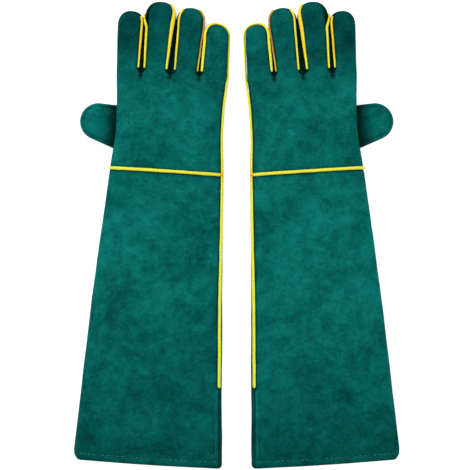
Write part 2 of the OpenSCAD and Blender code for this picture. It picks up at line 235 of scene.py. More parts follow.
# ======================================================================================
# Shapes: curves along the glove, and its cross-sections
# ======================================================================================
def smooth(t):
    x = np.clip(t, 0.0, 1.0)
    return x * x * (3 - 2 * x)


def mix(a, b, t):
    return a + (b - a) * t


def signed_power(x, p):
    return np.sign(x) * np.abs(x) ** p


def along(v, *knots, soften=10.0):
    """The value at v between knots of (v, value), with the corners at the knots rounded off."""
    places, values = zip(*knots)
    offsets = np.linspace(-soften, soften, 9)
    return np.mean([np.interp(v + o, places, values) for o in offsets], axis=0)


def corner_cut(v, depth):
    """How far a hem corner is rounded off, over twice its depth."""
    return depth * max(0.0, 1 - v / (2 * depth)) ** 2


def thumb_edge(v):
    """Half width of the glove on the thumb side."""
    width = along(v, (0, 97), (200, 86.3), (375, 73.6), (420, 68.2), (460, 69.5), (497, 72.9))
    return width - corner_cut(v, 6.5)


def little_edge(v):
    """Half width of the glove on the little-finger side."""
    width = along(v, (0, 95), (90, 89), (200, 82), (290, 77), (375, 72), (420, 66.8), (460, 66), (497, 68.2))
    return width - corner_cut(v, 3.0)


def crown(v):
    return along(v, (0, 41), (75, 35), (352, 32), (374, 32), (420, 36), (475, 30), (497, 24), soften=6)


def thumb_seam(v):
    return along(v, (0, 15), (374, 15), (404, 20.2), (470, 20.2), (497, 12), soften=5)


def little_seam(v):
    return along(v, (374, 15), (420, 14), (497, 12), soften=5)


def squareness(v):
    return along(v, (0, 2.3), (375, 2.6), (497, 4))


def welt_turn(v):
    """How far up the rounded little-finger edge the side seam lies, in degrees."""
    return along(v, (225, 20), (374, 16), (420, 13), (480, 10), (497, 0), soften=4)


def bunched(n, share=0.7):
    """n + 1 places from 0 to 1, closer together near both ends."""
    t = np.linspace(0, 1, n + 1)
    return t - share * np.sin(2 * np.pi * t) / (2 * np.pi)


def turns_between(start, end, n=90):
    """Turns in degrees, closer together at each quarter, where a squarish section bends most."""
    quarters = [start] + [q for q in range(-90, 451, 90) if start < q < end] + [end]
    ease = 0.5 - 0.5 * np.cos(np.linspace(0, np.pi, n))
    pieces = [mix(a, b, ease)[:-1] for a, b in zip(quarters, quarters[1:])]
    return np.append(np.concatenate(pieces), end)


def lengths_along(line):
    steps = np.linalg.norm(np.diff(line, axis=0), axis=1)
    return np.concatenate(((0.0,), np.cumsum(steps)))


def points_at(line, fractions):
    """Points of a line at fractions of its length."""
    lengths = lengths_along(line)
    wanted = np.asarray(fractions) * lengths[-1]
    return np.stack([np.interp(wanted, lengths, line[:, k]) for k in range(line.shape[1])], axis=1)


def finger_ovals(u):
    """How far the four finger roots' ovals reach above and below their middle, at u."""
    reach = np.zeros_like(u)
    for first, last, *_ in FINGER_SPANS.values():
        x = np.abs(u - (first + last) / 2) / ((last - first) / 2)
        inside = np.clip(1 - np.minimum(x, 1) ** FINGER_POWER, 0, 1)
        reach = np.maximum(reach, FINGER_MIDDLE * inside ** (1 / FINGER_POWER))
    return reach


def front_share(v):
    """0 on the hand, rising to 1 where its front has become the roots of the four fingers."""
    return float(smooth((v - (ROOTS - FRONT_MORPH)) / FRONT_MORPH)) ** 1.3


def palm_rise(u, v):
    """Height of the palm above the table, where it rides over the thumb and its swing."""
    aside = np.maximum(0, u - THUMB_ROOT[0])
    ahead = np.maximum(0, np.maximum(THUMB_ROOT[1] - v, v - (THUMB_ROOT[1] + 25)))
    return THUMB_RISE * smooth((48 - np.hypot(aside, ahead)) / 22)


def back_line(v, start=None, end=180.0):
    """The section's upper line at v, from the side seam over the back to the thumb edge."""
    s = np.radians(turns_between(welt_turn(v) if start is None else start, end))
    p = squareness(v)
    little = np.cos(s) > 0
    edge = np.where(little, little_edge(v), thumb_edge(v))
    seam = np.where(little, little_seam(v), thumb_seam(v))
    u = signed_power(np.cos(s), 2 / p) * edge
    z = seam + (crown(v) - seam) * np.abs(np.sin(s)) ** (2 / p)
    m = front_share(v)
    if m > 0:
        z = mix(z, FINGER_MIDDLE + finger_ovals(u), m)
    return np.stack((u, z), axis=1)


def palm_line(v):
    """The lower line, from the thumb edge under the palm and up to the side seam."""
    middle = mix(0.25, 0.75, np.linspace(0, 1, 161)[1:-1])
    q = np.concatenate((bunched(60) * 0.25, middle, mix(0.75, 1.0, bunched(60))))
    thumb = q < 0.5
    edge = np.where(thumb, thumb_edge(v), little_edge(v))
    seam = np.where(thumb, thumb_seam(v), little_seam(v))
    from_edge = 4 * np.minimum(q, 1 - q)
    angle = np.pi / 2 * (1 - np.minimum(1, from_edge))
    t = np.where(from_edge < 1, 0.8 + 0.2 * np.sin(angle), 0.8 * (2 - np.maximum(1, from_edge)))
    u = np.where(thumb, -1, 1) * t * edge
    z = np.maximum(0.3 + (seam - 0.3) * (1 - np.cos(angle)), np.minimum(seam, palm_rise(u, v)))
    m = front_share(v)
    if m > 0:
        z = mix(z, FINGER_MIDDLE - finger_ovals(u), m)
    low = np.stack((u, z), axis=1)
    if welt_turn(v) < 0.5:
        return low
    return np.concatenate((low[:-1], back_line(v, 0.0, float(welt_turn(v)))))


def ring_line(v):
    """The whole section at v, and how long the stretch of it is that the back's leather takes."""
    back, palm = back_line(v), palm_line(v)
    return np.concatenate((back[:-1], palm)), lengths_along(back)[-1] + FOLD_WRAP


def section_normals(grid):
    """Outward directions across the glove for a grid of (u, v, z), row by row."""
    t = np.gradient(grid, axis=1)
    n = np.stack((t[..., 2], np.zeros(t.shape[:2]), -t[..., 0]), axis=-1)
    return n / np.maximum(1e-9, np.linalg.norm(n, axis=-1, keepdims=True))


def calm_at_fold(relief, lengths):
    """Keeps the thumb-side fold straight by flattening the relief near it."""
    from_fold = np.abs(lengths[:, -1:] - FOLD_WRAP - lengths)
    return relief * mix(0.2, 1.0, smooth(from_fold / 16))


def painted_edge_shade(normals):
    """Painted shade: darker where the leather turns down at the glove's edges, away from the light above."""
    return mix(0.42, 1.0, smooth(normals[..., 2] / 0.45))


def column_lengths(grid):
    """How far each point lies along its row from the row's first point."""
    steps = np.linalg.norm(np.diff(grid, axis=1), axis=-1)
    return np.concatenate((np.zeros((len(grid), 1)), np.cumsum(steps, axis=1)), axis=1)


def random_relief(u, v, cell, seed):
    """Smooth random heights between -1 and 1, with bumps about one cell across."""
    lattice = np.random.default_rng(seed).uniform(-1, 1, (64, 64))
    x, y = u / cell + 31.3, v / cell + 7.7
    i, j = np.floor(x).astype(int), np.floor(y).astype(int)
    fx, fy = smooth(x - i), smooth(y - j)
    at = lambda a, b: lattice[a % 64, b % 64]
    near = mix(at(i, j), at(i + 1, j), fx)
    far = mix(at(i, j + 1), at(i + 1, j + 1), fx)
    return mix(near, far, fy)


def hide_relief(u, v, seed):
    """The soft waves and dents of slack leather, in millimetres."""
    broad = 0.75 * random_relief(u + 0.35 * v, v, 74, seed)
    folds = 0.45 * random_relief(u - 0.5 * v, v, 31, seed + 1)
    dents = 0.22 * random_relief(u, v, 13, seed + 2)
    grain = 0.07 * random_relief(u, v, 4.5, seed + 3)
    return broad + folds + dents + grain


# ======================================================================================
# The gloves' own frames, and pieces made in them
# ======================================================================================
class Glove:
    """One glove's frame, taken from its wrist joint."""

    def __init__(self, side):
        joint = next(j for j in frame["joints"] if j["name"] == f"{side}_wrist")
        axis = np.array(joint["axis"], float)
        self.side = side
        self.mirrored = side == "left"
        self.seed = 40 if self.mirrored else 10
        self.across = -axis if self.mirrored else axis
        self.lengthways = np.array((-axis[1], axis[0], 0.0))
        pivot = np.array(joint["pos_m"], float) / MM
        self.origin = pivot - WRIST_JOINT * self.lengthways - WRIST_JOINT_HEIGHT * UP

    def place(self, points):
        """World places, in metres, of points in the glove's frame."""
        p = np.asarray(points, float).reshape(-1, 3)
        return MM * (self.origin + p[:, :1] * self.across + p[:, 1:2] * self.lengthways + p[:, 2:] * UP)

    def name(self, part):
        return f"{self.side}_{part}"

    def bend_places(self, start, end):
        """Two points on the centre line, for a bend that runs from v = start to v = end."""
        a, b = self.place([(0, start, 0), (0, end, 0)])
        return {"start": tuple(a), "end": tuple(b)}


GLOVES = tuple(Glove(side) for side in SIDES)


def grid_faces(rows, cols, first=0):
    i, j = np.meshgrid(np.arange(rows - 1), np.arange(cols - 1), indexing="ij")
    a = (first + i * cols + j).ravel()
    return np.stack((a, a + cols, a + cols + 1, a + 1), axis=1)


def apply_modifiers(obj):
    """Turns what the modifiers make into the object's plain mesh."""
    graph = bpy.context.evaluated_depsgraph_get()
    graph.update()
    mesh = bpy.data.meshes.new_from_object(
        obj.evaluated_get(graph), preserve_all_data_layers=True, depsgraph=graph
    )
    obj.modifiers.clear()
    mesh.name = obj.name
    obj.data = mesh


def make_piece(glove, name, grids, material, slot, thickness=0.0, sharp=40.0, **attributes):
    """Makes one piece from grids of points in the glove's frame, each seen from outside with its rows
    running up and its columns from right to left. thickness, in millimetres, goes inwards."""
    points, faces, first = [], [], 0
    for grid in grids:
        rows, cols = grid.shape[:2]
        points.append(grid.reshape(-1, 3))
        faces.append(grid_faces(rows, cols, first))
        first += rows * cols
    faces = np.concatenate(faces)
    if glove.mirrored:
        faces = faces[:, ::-1]
    mesh = bpy.data.meshes.new(glove.name(name))
    mesh.from_pydata(glove.place(np.concatenate(points)).tolist(), [], faces.tolist())
    for key, parts in attributes.items():
        values = np.concatenate([np.asarray(part, float).ravel() for part in parts])
        mesh.attributes.new(key, "FLOAT", "POINT").data.foreach_set("value", values.astype(np.float32))
    bm = bmesh.new()
    bm.from_mesh(mesh)
    bmesh.ops.remove_doubles(bm, verts=bm.verts, dist=0.02 * MM)
    bmesh.ops.dissolve_degenerate(bm, edges=bm.edges, dist=0.002 * MM)
    bm.to_mesh(mesh)
    bm.free()
    obj = bpy.data.objects.new(glove.name(name), mesh)
    bpy.context.scene.collection.objects.link(obj)
    mesh.materials.append(material)
    if thickness:
        wall = obj.modifiers.new("wall", "SOLIDIFY")
        wall.thickness = thickness * MM
        wall.offset = -1
        apply_modifiers(obj)
    mesh = obj.data
    mesh.polygons.foreach_set("use_smooth", np.ones(len(mesh.polygons), bool))
    mesh.set_sharp_from_angle(angle=math.radians(sharp))
    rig.slot(obj, slot)
    return obj


def bead_grid(path, normals, width, height, sides=10):
    """A rounded bead along a path, flattened against the surface that normals point away from.
    It has round ends. width and height may be numbers or one value a point."""
    n = len(path)
    tangents = np.gradient(path, axis=0)
    tangents /= np.linalg.norm(tangents, axis=1, keepdims=True)
    across = np.cross(tangents, normals)
    across /= np.linalg.norm(across, axis=1, keepdims=True)
    above = np.cross(across, tangents)
    width = np.broadcast_to(width, n)
    height = np.broadcast_to(height, n)
    lengths = lengths_along(path)
    from_end = np.minimum(lengths, lengths[-1] - lengths)
    cap = np.clip(from_end / (0.5 * width), 0, 1)
    round_end = np.sqrt(1 - (1 - cap) ** 2)
    angle = np.linspace(0, 2 * np.pi, sides + 1)[None, :, None]
    side = across[:, None] * (0.5 * width * round_end)[:, None, None]
    rise = above[:, None] * (0.5 * height * round_end)[:, None, None]
    return path[:, None] + side * np.cos(angle) + rise * np.sin(angle)


# ======================================================================================
# Materials
# ======================================================================================
class Shading:
    """Adds nodes to a new material and wires them."""

    def __init__(self, name):
        self.material = bpy.data.materials.new(name)
        self.material.use_nodes = True
        self.tree = self.material.node_tree
        self.shader = self.tree.nodes["Principled BSDF"]

    def add(self, kind, inputs=None, **settings):
        made = self.tree.nodes.new(kind)
        for key, value in settings.items():
            setattr(made, key, value)
        for key, value in (inputs or {}).items():
            if isinstance(value, bpy.types.NodeSocket):
                self.tree.links.new(value, made.inputs[key])
            else:
                made.inputs[key].default_value = value
        return made

    def wire(self, output, socket):
        self.tree.links.new(output, self.shader.inputs[socket])

    def place(self):
        return self.add("ShaderNodeTexCoord").outputs["Object"]

    def noise(self, scale, detail=2.0, roughness=0.5, distortion=0.0, stretch=None):
        vector = self.place()
        if stretch:
            vector = self.add("ShaderNodeMapping", {"Vector": vector, "Scale": stretch}).outputs["Vector"]
        inputs = {"Vector": vector, "Scale": scale, "Detail": detail, "Roughness": roughness,
                  "Distortion": distortion}
        return self.add("ShaderNodeTexNoise", inputs).outputs["Fac"]

    def math(self, operation, a, b, clamp=False):
        return self.add("ShaderNodeMath", {0: a, 1: b}, operation=operation, use_clamp=clamp).outputs[0]

    def spread(self, value, low, high, to_low, to_high):
        inputs = {"Value": value, "From Min": low, "From Max": high, "To Min": to_low, "To Max": to_high}
        return self.add("ShaderNodeMapRange", inputs).outputs["Result"]

    def ramp(self, value, *stops):
        made = self.add("ShaderNodeValToRGB", {"Fac": value})
        elements = made.color_ramp.elements
        while len(elements) < len(stops):
            elements.new(0.5)
        for element, (place, colour) in zip(elements, stops):
            element.position = place
            element.color = (*colour, 1.0)
        return made.outputs["Color"]

    def attribute(self, name):
        return self.add("ShaderNodeAttribute", attribute_name=name).outputs["Fac"]

    def scaled(self, colour, factor):
        """A colour made darker or lighter by a factor."""
        made = self.add("ShaderNodeVectorMath", {0: colour, "Scale": factor}, operation="SCALE")
        return made.outputs["Vector"]

    def bump(self, height, depth_mm, strength=1.0, below=None):
        inputs = {"Height": height, "Distance": depth_mm * MM, "Strength": strength}
        if below is not None:
            inputs["Normal"] = below
        return self.add("ShaderNodeBump", inputs).outputs["Normal"]


def tinted(colour, factor):
    return tuple(min(1.0, c * factor) for c in colour[:3])


def suede(settings):
    """Dyed split leather: cloudy patches, a brushed nap, and darker where the shade attribute is low."""
    s = Shading("green suede")
    s.shader.inputs["Roughness"].default_value = 0.95
    s.shader.inputs["Specular IOR Level"].default_value = 0.0
    s.shader.inputs["Sheen Weight"].default_value = 0.08
    s.shader.inputs["Sheen Roughness"].default_value = 0.45
    s.shader.inputs["Sheen Tint"].default_value = (0.02, 0.80, 0.70, 1.0)
    clouds = s.noise(17, detail=3, roughness=0.55, distortion=0.6)
    patches = s.noise(62, detail=4, roughness=0.62, distortion=0.3)
    brushed = s.noise(260, detail=3, roughness=0.6)
    specks = s.noise(900, detail=2, roughness=0.7)
    tone = s.math("ADD", s.math("MULTIPLY", clouds, 0.30), s.math("MULTIPLY", patches, 0.36))
    tone = s.math("ADD", tone, s.math("MULTIPLY", brushed, 0.22))
    tone = s.math("ADD", tone, s.math("MULTIPLY", specks, 0.12))
    shades = (settings.leather_dark, settings.leather, settings.leather_light)
    dark, mid, light = (tuple(c[:3]) for c in shades)
    colour = s.ramp(tone, (0.405, dark), (0.50, mid), (0.60, light))
    s.wire(s.scaled(colour, s.attribute("shade")), "Base Color")
    nap = s.bump(s.noise(2100, detail=2, roughness=0.6), 0.25, 0.6)
    s.wire(s.bump(s.noise(420, detail=3, roughness=0.6), 0.35, 0.6, below=nap), "Normal")
    return s.material


def welt_leather(settings):
    """Folded strip of smooth yellow leather. warmth runs from greenish yellow to orange brown; the brown end is
    painted shade for welts that lie in shadow.
    """
    s = Shading("yellow welt leather")
    s.shader.inputs["Roughness"].default_value = 0.62
    s.shader.inputs["Specular IOR Level"].default_value = 0.25
    warmth = s.math("ADD", s.attribute("warmth"), s.spread(s.noise(140, detail=2), 0.3, 0.7, -0.05, 0.05))
    pale, golden, brown = (tuple(c[:3]) for c in (settings.welt_pale, settings.welt, settings.welt_brown))
    colour = s.ramp(warmth, (0.0, pale), (0.5, golden), (1.0, brown))
    wear = s.spread(s.noise(520, detail=3, roughness=0.6), 0.3, 0.7, 0.86, 1.1)
    s.wire(s.scaled(colour, s.math("MULTIPLY", wear, s.attribute("shade"))), "Base Color")
    s.wire(s.bump(s.noise(1500, detail=3), 0.12, 0.5), "Normal")
    return s.material


def cotton(settings):
    """Plain woven lining: two sets of threads crossing, along and across the glove."""
    s = Shading("cotton lining")
    s.shader.inputs["Roughness"].default_value = 0.95
    s.shader.inputs["Specular IOR Level"].default_value = 0.1
    s.shader.inputs["Sheen Weight"].default_value = 0.2
    waves = []
    for direction in ("X", "Y"):
        inputs = {"Vector": s.place(), "Scale": 320.0, "Distortion": 0.4, "Detail": 1.0}
        waves.append(s.add("ShaderNodeTexWave", inputs, bands_direction=direction).outputs["Fac"])
    weave = s.math("MULTIPLY", waves[0], waves[1])
    shade = s.spread(s.noise(45, detail=3), 0.3, 0.7, 0.86, 1.06)
    colour = s.ramp(weave, (0.0, tinted(settings.lining, 0.72)), (0.6, tuple(settings.lining[:3])))
    s.wire(s.scaled(colour, shade), "Base Color")
    s.wire(s.bump(weave, 0.3, 0.7), "Normal")
    return s.material


def twisted_thread(settings):
    s = Shading("sewing thread")
    s.shader.inputs["Roughness"].default_value = 0.6
    s.shader.inputs["Specular IOR Level"].default_value = 0.3
    uneven = s.spread(s.noise(300, detail=2), 0.3, 0.7, 0.7, 1.15)
    s.wire(s.scaled(s.ramp(s.noise(900), (0.3, tinted(settings.thread, 0.8)),
                           (0.7, tuple(settings.thread[:3]))), uneven), "Base Color")
    s.wire(s.bump(s.noise(4000, detail=1), 0.1, 0.6), "Normal")
    return s.material


def floor_material():
    """Pale board that glows a little, as a light table does, so that it stays white up to the gloves."""
    s = Shading("pale floor")
    s.shader.inputs["Base Color"].default_value = (0.86, 0.86, 0.86, 1.0)
    s.shader.inputs["Roughness"].default_value = 0.9
    s.shader.inputs["Specular IOR Level"].default_value = 0.0
    s.shader.inputs["Emission Color"].default_value = (1.0, 1.0, 1.0, 1.0)
    s.shader.inputs["Emission Strength"].default_value = 0.62
    return s.material


def material(name, maker):
    """The material of that name, made once."""
    return bpy.data.materials.get(name) or maker(bpy.context.scene.gauntlet_colours)


# ======================================================================================
# Leather panels of the cuff and the hand
# ======================================================================================
def groove(distance, depth, width):
    return -depth * np.exp(-((distance / width) ** 2))


# Painted shade: colour darkened near a seam, standing in for the shade in its groove.
def seam_shade(distance, darkest, width):
    return 1 - (1 - darkest) * np.exp(-((distance / width) ** 2))


def mouth_slant(v, z):
    """How much further up a place of height z near the mouth lies than it would on a straight tube."""
    return MOUTH_SLANT * smooth((z - 12) / 28) * smooth((110 - v) / 90)


def panel_grid(rows, fractions_at, part):
    """Points (u, v, z) of the back or the palm. A row is (v, inset): the hem is turned in."""
    grid = []
    for v, inset in rows:
        ring, back_length = ring_line(v)
        total = lengths_along(ring)[-1]
        share = back_length / total
        fractions = fractions_at(v)
        fractions = fractions * share if part == "back" else share + fractions * (1 - share)
        line = points_at(ring, fractions)
        if inset:
            t = np.gradient(line, axis=0)
            n = np.stack((t[:, 1], -t[:, 0]), axis=1) / np.linalg.norm(t, axis=1, keepdims=True)
            line = line - inset * n
        grid.append(np.stack((line[:, 0], v + mouth_slant(v, line[:, 1]), line[:, 1]), axis=1))
    return np.array(grid)


def root_fractions(line_at_root, columns):
    """Fractions along the hand's plain section that give even columns on the fingers' ovals."""
    u = line_at_root[:, 0]
    ovals = np.stack((u, finger_ovals(u)), axis=1)
    even_lengths = np.linspace(0, lengths_along(ovals)[-1], columns + 1)
    plain = np.interp(even_lengths, lengths_along(ovals), lengths_along(line_at_root))
    return plain / lengths_along(line_at_root)[-1]


def cuff_rows(count):
    """(v, inset) from the end of the hem's turned-in leather, round its edge and up to the wrist."""
    fold = [(v, 2 * HEM_RADIUS) for v in np.linspace(HEM_FOLD, HEM_RADIUS + 0.5, 6)]
    turn = [(HEM_RADIUS * (1 - math.cos(a)), HEM_RADIUS * (1 - math.sin(a)))
            for a in np.radians(np.linspace(-80, 80, 9))]
    upper = [(v, 0.0) for v in mix(HEM_RADIUS + 0.6, WRIST + 0.4, bunched(count))]
    return fold + turn + upper


def settled_slack(glove):
    """Lets the back's leather, cut a little larger than the space between its seams, settle by cloth
    simulation. Returns how far it moved outwards, in millimetres, as a function of v and of the share
    of the way from the side seam to the thumb-side fold."""
    rows, columns = np.linspace(9, ROOTS - 5, 82), np.linspace(0, 1, 33)
    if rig.quick():
        return lambda v, share: np.zeros_like(v)
    grid = panel_grid([(v, 0.0) for v in rows], lambda v: columns, "back")
    normals = section_normals(grid)
    u, v = grid[..., 0], grid[..., 1]
    inner = smooth(columns / 0.08) * smooth((1 - columns) / 0.08)
    start = grid + normals * (0.8 * hide_relief(u, v, glove.seed + 51) * inner)[..., None]
    mesh = bpy.data.meshes.new("slack")
    mesh.from_pydata((start.reshape(-1, 3) * MM).tolist(), [], grid_faces(len(rows), len(columns)).tolist())
    sheet = bpy.data.objects.new("slack", mesh)
    bpy.context.scene.collection.objects.link(sheet)
    held = np.zeros(grid.shape[:2], bool)
    held[:, :2] = held[:, -2:] = held[:2] = held[-2:] = True
    held[np.abs(rows - WRIST) < 5] = True
    group = sheet.vertex_groups.new(name="held")
    group.add(np.flatnonzero(held).tolist(), 1.0, "REPLACE")
    cloth = sheet.modifiers.new("cloth", "CLOTH")
    cloth.settings.quality = 6
    cloth.settings.mass = 0.4
    cloth.settings.tension_stiffness = cloth.settings.compression_stiffness = 30
    cloth.settings.shear_stiffness = 12
    cloth.settings.bending_stiffness = 6
    cloth.settings.shrink_min = cloth.settings.shrink_max = -0.012
    cloth.settings.vertex_group_mass = "held"
    cloth.settings.use_pressure = True
    cloth.settings.uniform_pressure_force = 0.6
    cloth.settings.effector_weights.gravity = 0
    cloth.point_cache.frame_start, cloth.point_cache.frame_end = 1, SLACK_FRAMES
    for number in range(1, SLACK_FRAMES + 1):
        bpy.context.scene.frame_set(number)
    seen = sheet.evaluated_get(bpy.context.evaluated_depsgraph_get())
    places = np.empty(len(mesh.vertices) * 3)
    seen.data.vertices.foreach_get("co", places)
    bpy.context.scene.frame_set(1)
    bpy.data.objects.remove(sheet)
    bpy.data.meshes.remove(mesh)
    moved = ((places.reshape(grid.shape) / MM - grid) * normals).sum(axis=-1)
    moved = np.clip(moved, -0.3 * MOST_SLACK, MOST_SLACK) * inner

    def slack(v, share):
        i = np.clip((v - rows[0]) / (rows[1] - rows[0]), 0, len(rows) - 1.001)
        j = np.clip(share * (len(columns) - 1), 0, len(columns) - 1.001)
        a, b = i.astype(int), j.astype(int)
        near = mix(moved[a, b], moved[a, b + 1], smooth(j - b))
        far = mix(moved[a + 1, b], moved[a + 1, b + 1], smooth(j - b))
        return mix(near, far, smooth(i - a))

    return slack


def hem_corner_creases(u, v):
    """Slanting folds and hollows in the hem's corner on the little-finger side."""
    fall = np.zeros_like(u)
    slant = 0.85
    for u0, v0, height in ((74, 30, 1.3), (84, 34, -1.1), (66, 20, -0.7), (88, 14, 0.9)):
        across = (u - u0) * math.cos(slant) + (v - v0) * math.sin(slant)
        ahead = -(u - u0) * math.sin(slant) + (v - v0) * math.cos(slant)
        fall += height * np.exp(-((across / 3.2) ** 2) - (ahead / 13) ** 2)
    return fall


def cuff_panel(glove, part, settings, slack):
    columns = 84 if part == "back" else 60
    grid = panel_grid(cuff_rows(140 if part == "back" else 90), lambda v: bunched(columns), part)
    u, v = grid[..., 0], grid[..., 1]
    lengths = column_lengths(grid)
    from_seam = lengths if part == "back" else lengths[:, -1:] - lengths
    normals = section_normals(grid)
    from_wrist = WRIST - v
    fade = smooth(from_seam / 9) * smooth(from_wrist / 9) * smooth((v - HEM_FOLD - 1) / 14)
    welted = smooth((v - WELT_START + 4) / 4)
    relief = hide_relief(u, v, glove.seed) * fade
    if part == "back":
        relief = calm_at_fold(relief + slack(v, from_seam / lengths[:, -1:]) * fade, lengths)
    relief += 0.55 * groove(from_seam, settings.groove_depth, 1.5) * (0.5 + 0.5 * welted)
    relief += groove(from_wrist, settings.groove_depth, 1.8)
    relief -= 0.49 * np.exp(-(((v - HEM_FOLD - 1.5) / 1.6) ** 2)) * smooth(from_seam / 4)
    if part == "back":
        relief += hem_corner_creases(u, v) * smooth(from_seam / 3)
        relief += 1.0 * (1 - welted) * np.exp(-((from_seam - 1.2) / 1.4) ** 2)
        relief += 0.3 * np.sin(2 * np.pi * v / 7.3) * np.exp(-from_wrist / 5) * smooth(from_wrist / 2)
    else:
        relief = np.where(grid[..., 2] < 4, 0, relief * 0.6)
    grid = grid + normals * relief[..., None]
    grid[..., 2] = np.maximum(grid[..., 2], 0.25)
    tone = along(v, (0, 0.58), (30, 0.66), (110, 0.81), (220, 0.97), (375, 1.0), soften=20)
    # Painted shade in the side seam's groove and beside the wrist welt.
    shade = tone * seam_shade(from_seam, mix(0.55, 0.12, welted), mix(1.3, 3.0, welted))
    shade = shade * seam_shade(from_wrist, 0.05, 3.5)
    # Painted shade where the leather turns round the hem, and painted highlights on the ridge beside the hem's groove
    # and along the raised edge of the plain side seam.
    shade = shade * seam_shade(v, 0.25, 3.6) * (1 + 0.18 * np.exp(-(((v - HEM_FOLD + 1) / 2.2) ** 2)))
    shade = shade * (1 + 0.35 * (1 - welted) * np.exp(-(((from_seam - 3.0) / 1.2) ** 2)))
    # The palm gets painted shade underneath; the back gets painted shade where it turns down.
    shade = shade * (0.55 if part == "palm" else painted_edge_shade(normals))
    obj = make_piece(glove, f"cuff_{part}_leather", [grid], material("green suede", suede),
                     "green_leather", settings.leather_thickness, shade=[shade])
    replaced = ("cuff_back", "wrist_band") if part == "back" else ("cuff_palm",)
    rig.replaces(obj, *(glove.name(n) for n in replaced))
    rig.blend(obj, glove.name("cuff"), glove.name("hand"), **glove.bend_places(*WRIST_BEND))


def hand_panel(glove, part, settings, slack):
    columns = 110 if part == "back" else 84
    line = back_line(ROOTS - FRONT_MORPH) if part == "back" else palm_line(ROOTS - FRONT_MORPH)
    at_root = root_fractions(line, columns)
    plain = bunched(columns, 0.45)
    fractions = lambda v: mix(plain, at_root, float(smooth((v - 385) / 90)))
    rows = [(v, 0.0) for v in mix(WRIST - 0.4, ROOTS, bunched(84 if part == "back" else 60))]
    grid = panel_grid(rows, fractions, part)
    u, v = grid[..., 0], grid[..., 1]
    lengths = column_lengths(grid)
    from_seam = lengths if part == "back" else lengths[:, -1:] - lengths
    from_wrist, from_roots = v - WRIST, ROOTS - v
    normals = section_normals(grid)
    fade = smooth(from_seam / 9) * smooth(from_wrist / 9) * smooth(from_roots / 14)
    relief = hide_relief(u, v, glove.seed + 7) * fade
    if part == "back":
        relief = calm_at_fold(relief + slack(v, from_seam / lengths[:, -1:]) * fade, lengths)
    relief += 0.55 * groove(from_seam, settings.groove_depth, 1.5)
    relief += groove(from_wrist, settings.groove_depth, 1.8)
    if part == "back":
        relief += 0.3 * np.sin(2 * np.pi * u / 7.9) * np.exp(-from_wrist / 5) * smooth(from_wrist / 2)
    else:
        relief = np.where(grid[..., 2] < 4, 0, relief * 0.6)
    grid = grid + normals * relief[..., None]
    grid[..., 2] = np.maximum(grid[..., 2], 0.25)
    shade = np.ones_like(u) * along(v, (375, 1.0), (460, 0.96), (490, 0.84), (497, 0.8), soften=6)
    # Painted shade in the side seam's groove and beside the wrist welt.
    shade = shade * seam_shade(from_seam, 0.12, 3.0) * seam_shade(from_wrist, 0.05, 3.5)
    # Painted shade round each slot between the fingers.
    for crotch in [span[1] for span in FINGER_SPANS.values()][:-1]:
        shade = shade * seam_shade(np.hypot(u - crotch, from_roots * 0.8), 0.15, 3.0)
    # The palm gets painted shade underneath; the back gets painted shade where it turns down.
    shade = shade * (0.55 if part == "palm" else painted_edge_shade(normals))
    obj = make_piece(glove, f"hand_{part}_leather", [grid], material("green suede", suede),
                     "green_leather", settings.leather_thickness, shade=[shade])
    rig.replaces(obj, glove.name(f"hand_{part}"))
    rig.blend(obj, glove.name("cuff"), glove.name("hand"), **glove.bend_places(*WRIST_BEND))


def lining_tube(glove, settings):
    """The cloth tube inside cuff and hand. It starts inside the hem's turned-in leather, and stays
    further from the back, whose leather moves in the cloth pass."""
    gap = settings.leather_thickness + 0.35
    grid = []
    for v in np.concatenate((np.linspace(7, 20, 6), np.linspace(28, 480, 46))):
        ring, _ = ring_line(v)
        line = points_at(ring, np.linspace(0, 1, 97))
        line[-1] = line[0]
        t = np.roll(line[:-1], -1, axis=0) - np.roll(line[:-1], 1, axis=0)
        n = np.stack((t[:, 1], -t[:, 0]), axis=1) / np.linalg.norm(t, axis=1, keepdims=True)
        waves = 0.35 * (1 + random_relief(line[:-1, 0], np.full(96, v), 17, glove.seed + 5))
        inset = gap + 2.2 * smooth((17 - v) / 5) + 2.6 * smooth((line[:-1, 1] - 12) / 10) + waves
        line[:-1] -= n * inset[:, None]
        line[-1] = line[0]
        grid.append(np.stack((line[:, 0], np.full(97, v), line[:, 1]), axis=1))
    obj = make_piece(glove, "lining_tube", [np.array(grid)], material("cotton lining", cotton),
                     "cotton_lining", 0.8)
    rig.replaces(obj, glove.name("cuff_lining"), glove.name("hand_lining"))
    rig.blend(obj, glove.name("cuff"), glove.name("hand"), **glove.bend_places(*WRIST_BEND))


# ======================================================================================
# Fingers
# ======================================================================================
def finger_sides(name, v):
    """The finger's lowest and highest u at v, before its tip."""
    first, last, first_drift, last_drift, _ = FINGER_SPANS[name]
    drift = along(v, (ROOTS, 0), (ROOTS + 60, 1), soften=6) - 0.02
    return first + first_drift * drift + FINGER_GAP / 2, last + last_drift * drift - FINGER_GAP / 2


def finger_rows(name, before=0.0, count=34):
    """(v, share of the full section) from the finger's root to its tip."""
    first, last, first_drift, last_drift, length = FINGER_SPANS[name]
    straight = length - (last + last_drift - first - first_drift) / 2
    near = [-before, 0.0] if before else [0.0]
    body = np.array([0.7, 1.6, 2.8, 4.2, 6.0, 8.2]).tolist() + np.linspace(10.5, straight, count - 6).tolist()
    tip = np.radians(np.concatenate((np.linspace(8, 80, 12), (84, 87, 89))))
    rows = [(ROOTS + x, 1.0) for x in near + body]
    cap = length - straight
    return rows + [(ROOTS + straight + cap * math.sin(a), math.cos(a) ** (2 / 2.3)) for a in tip]


def finger_line(name, v, share, turns):
    """Points (u, z) of the finger's section at v for turns in degrees, 0 on the little-finger side."""
    low, high = finger_sides(name, min(v, ROOTS + FINGER_SPANS[name][4] * 0.7))
    s = np.radians(turns)
    e = 2 / FINGER_POWER
    u = (low + high) / 2 + signed_power(np.cos(s), e) * (high - low) / 2 * share
    z = FINGER_MIDDLE + signed_power(np.sin(s), e) * FINGER_MIDDLE * share**0.8
    return np.stack((u, z), axis=1)


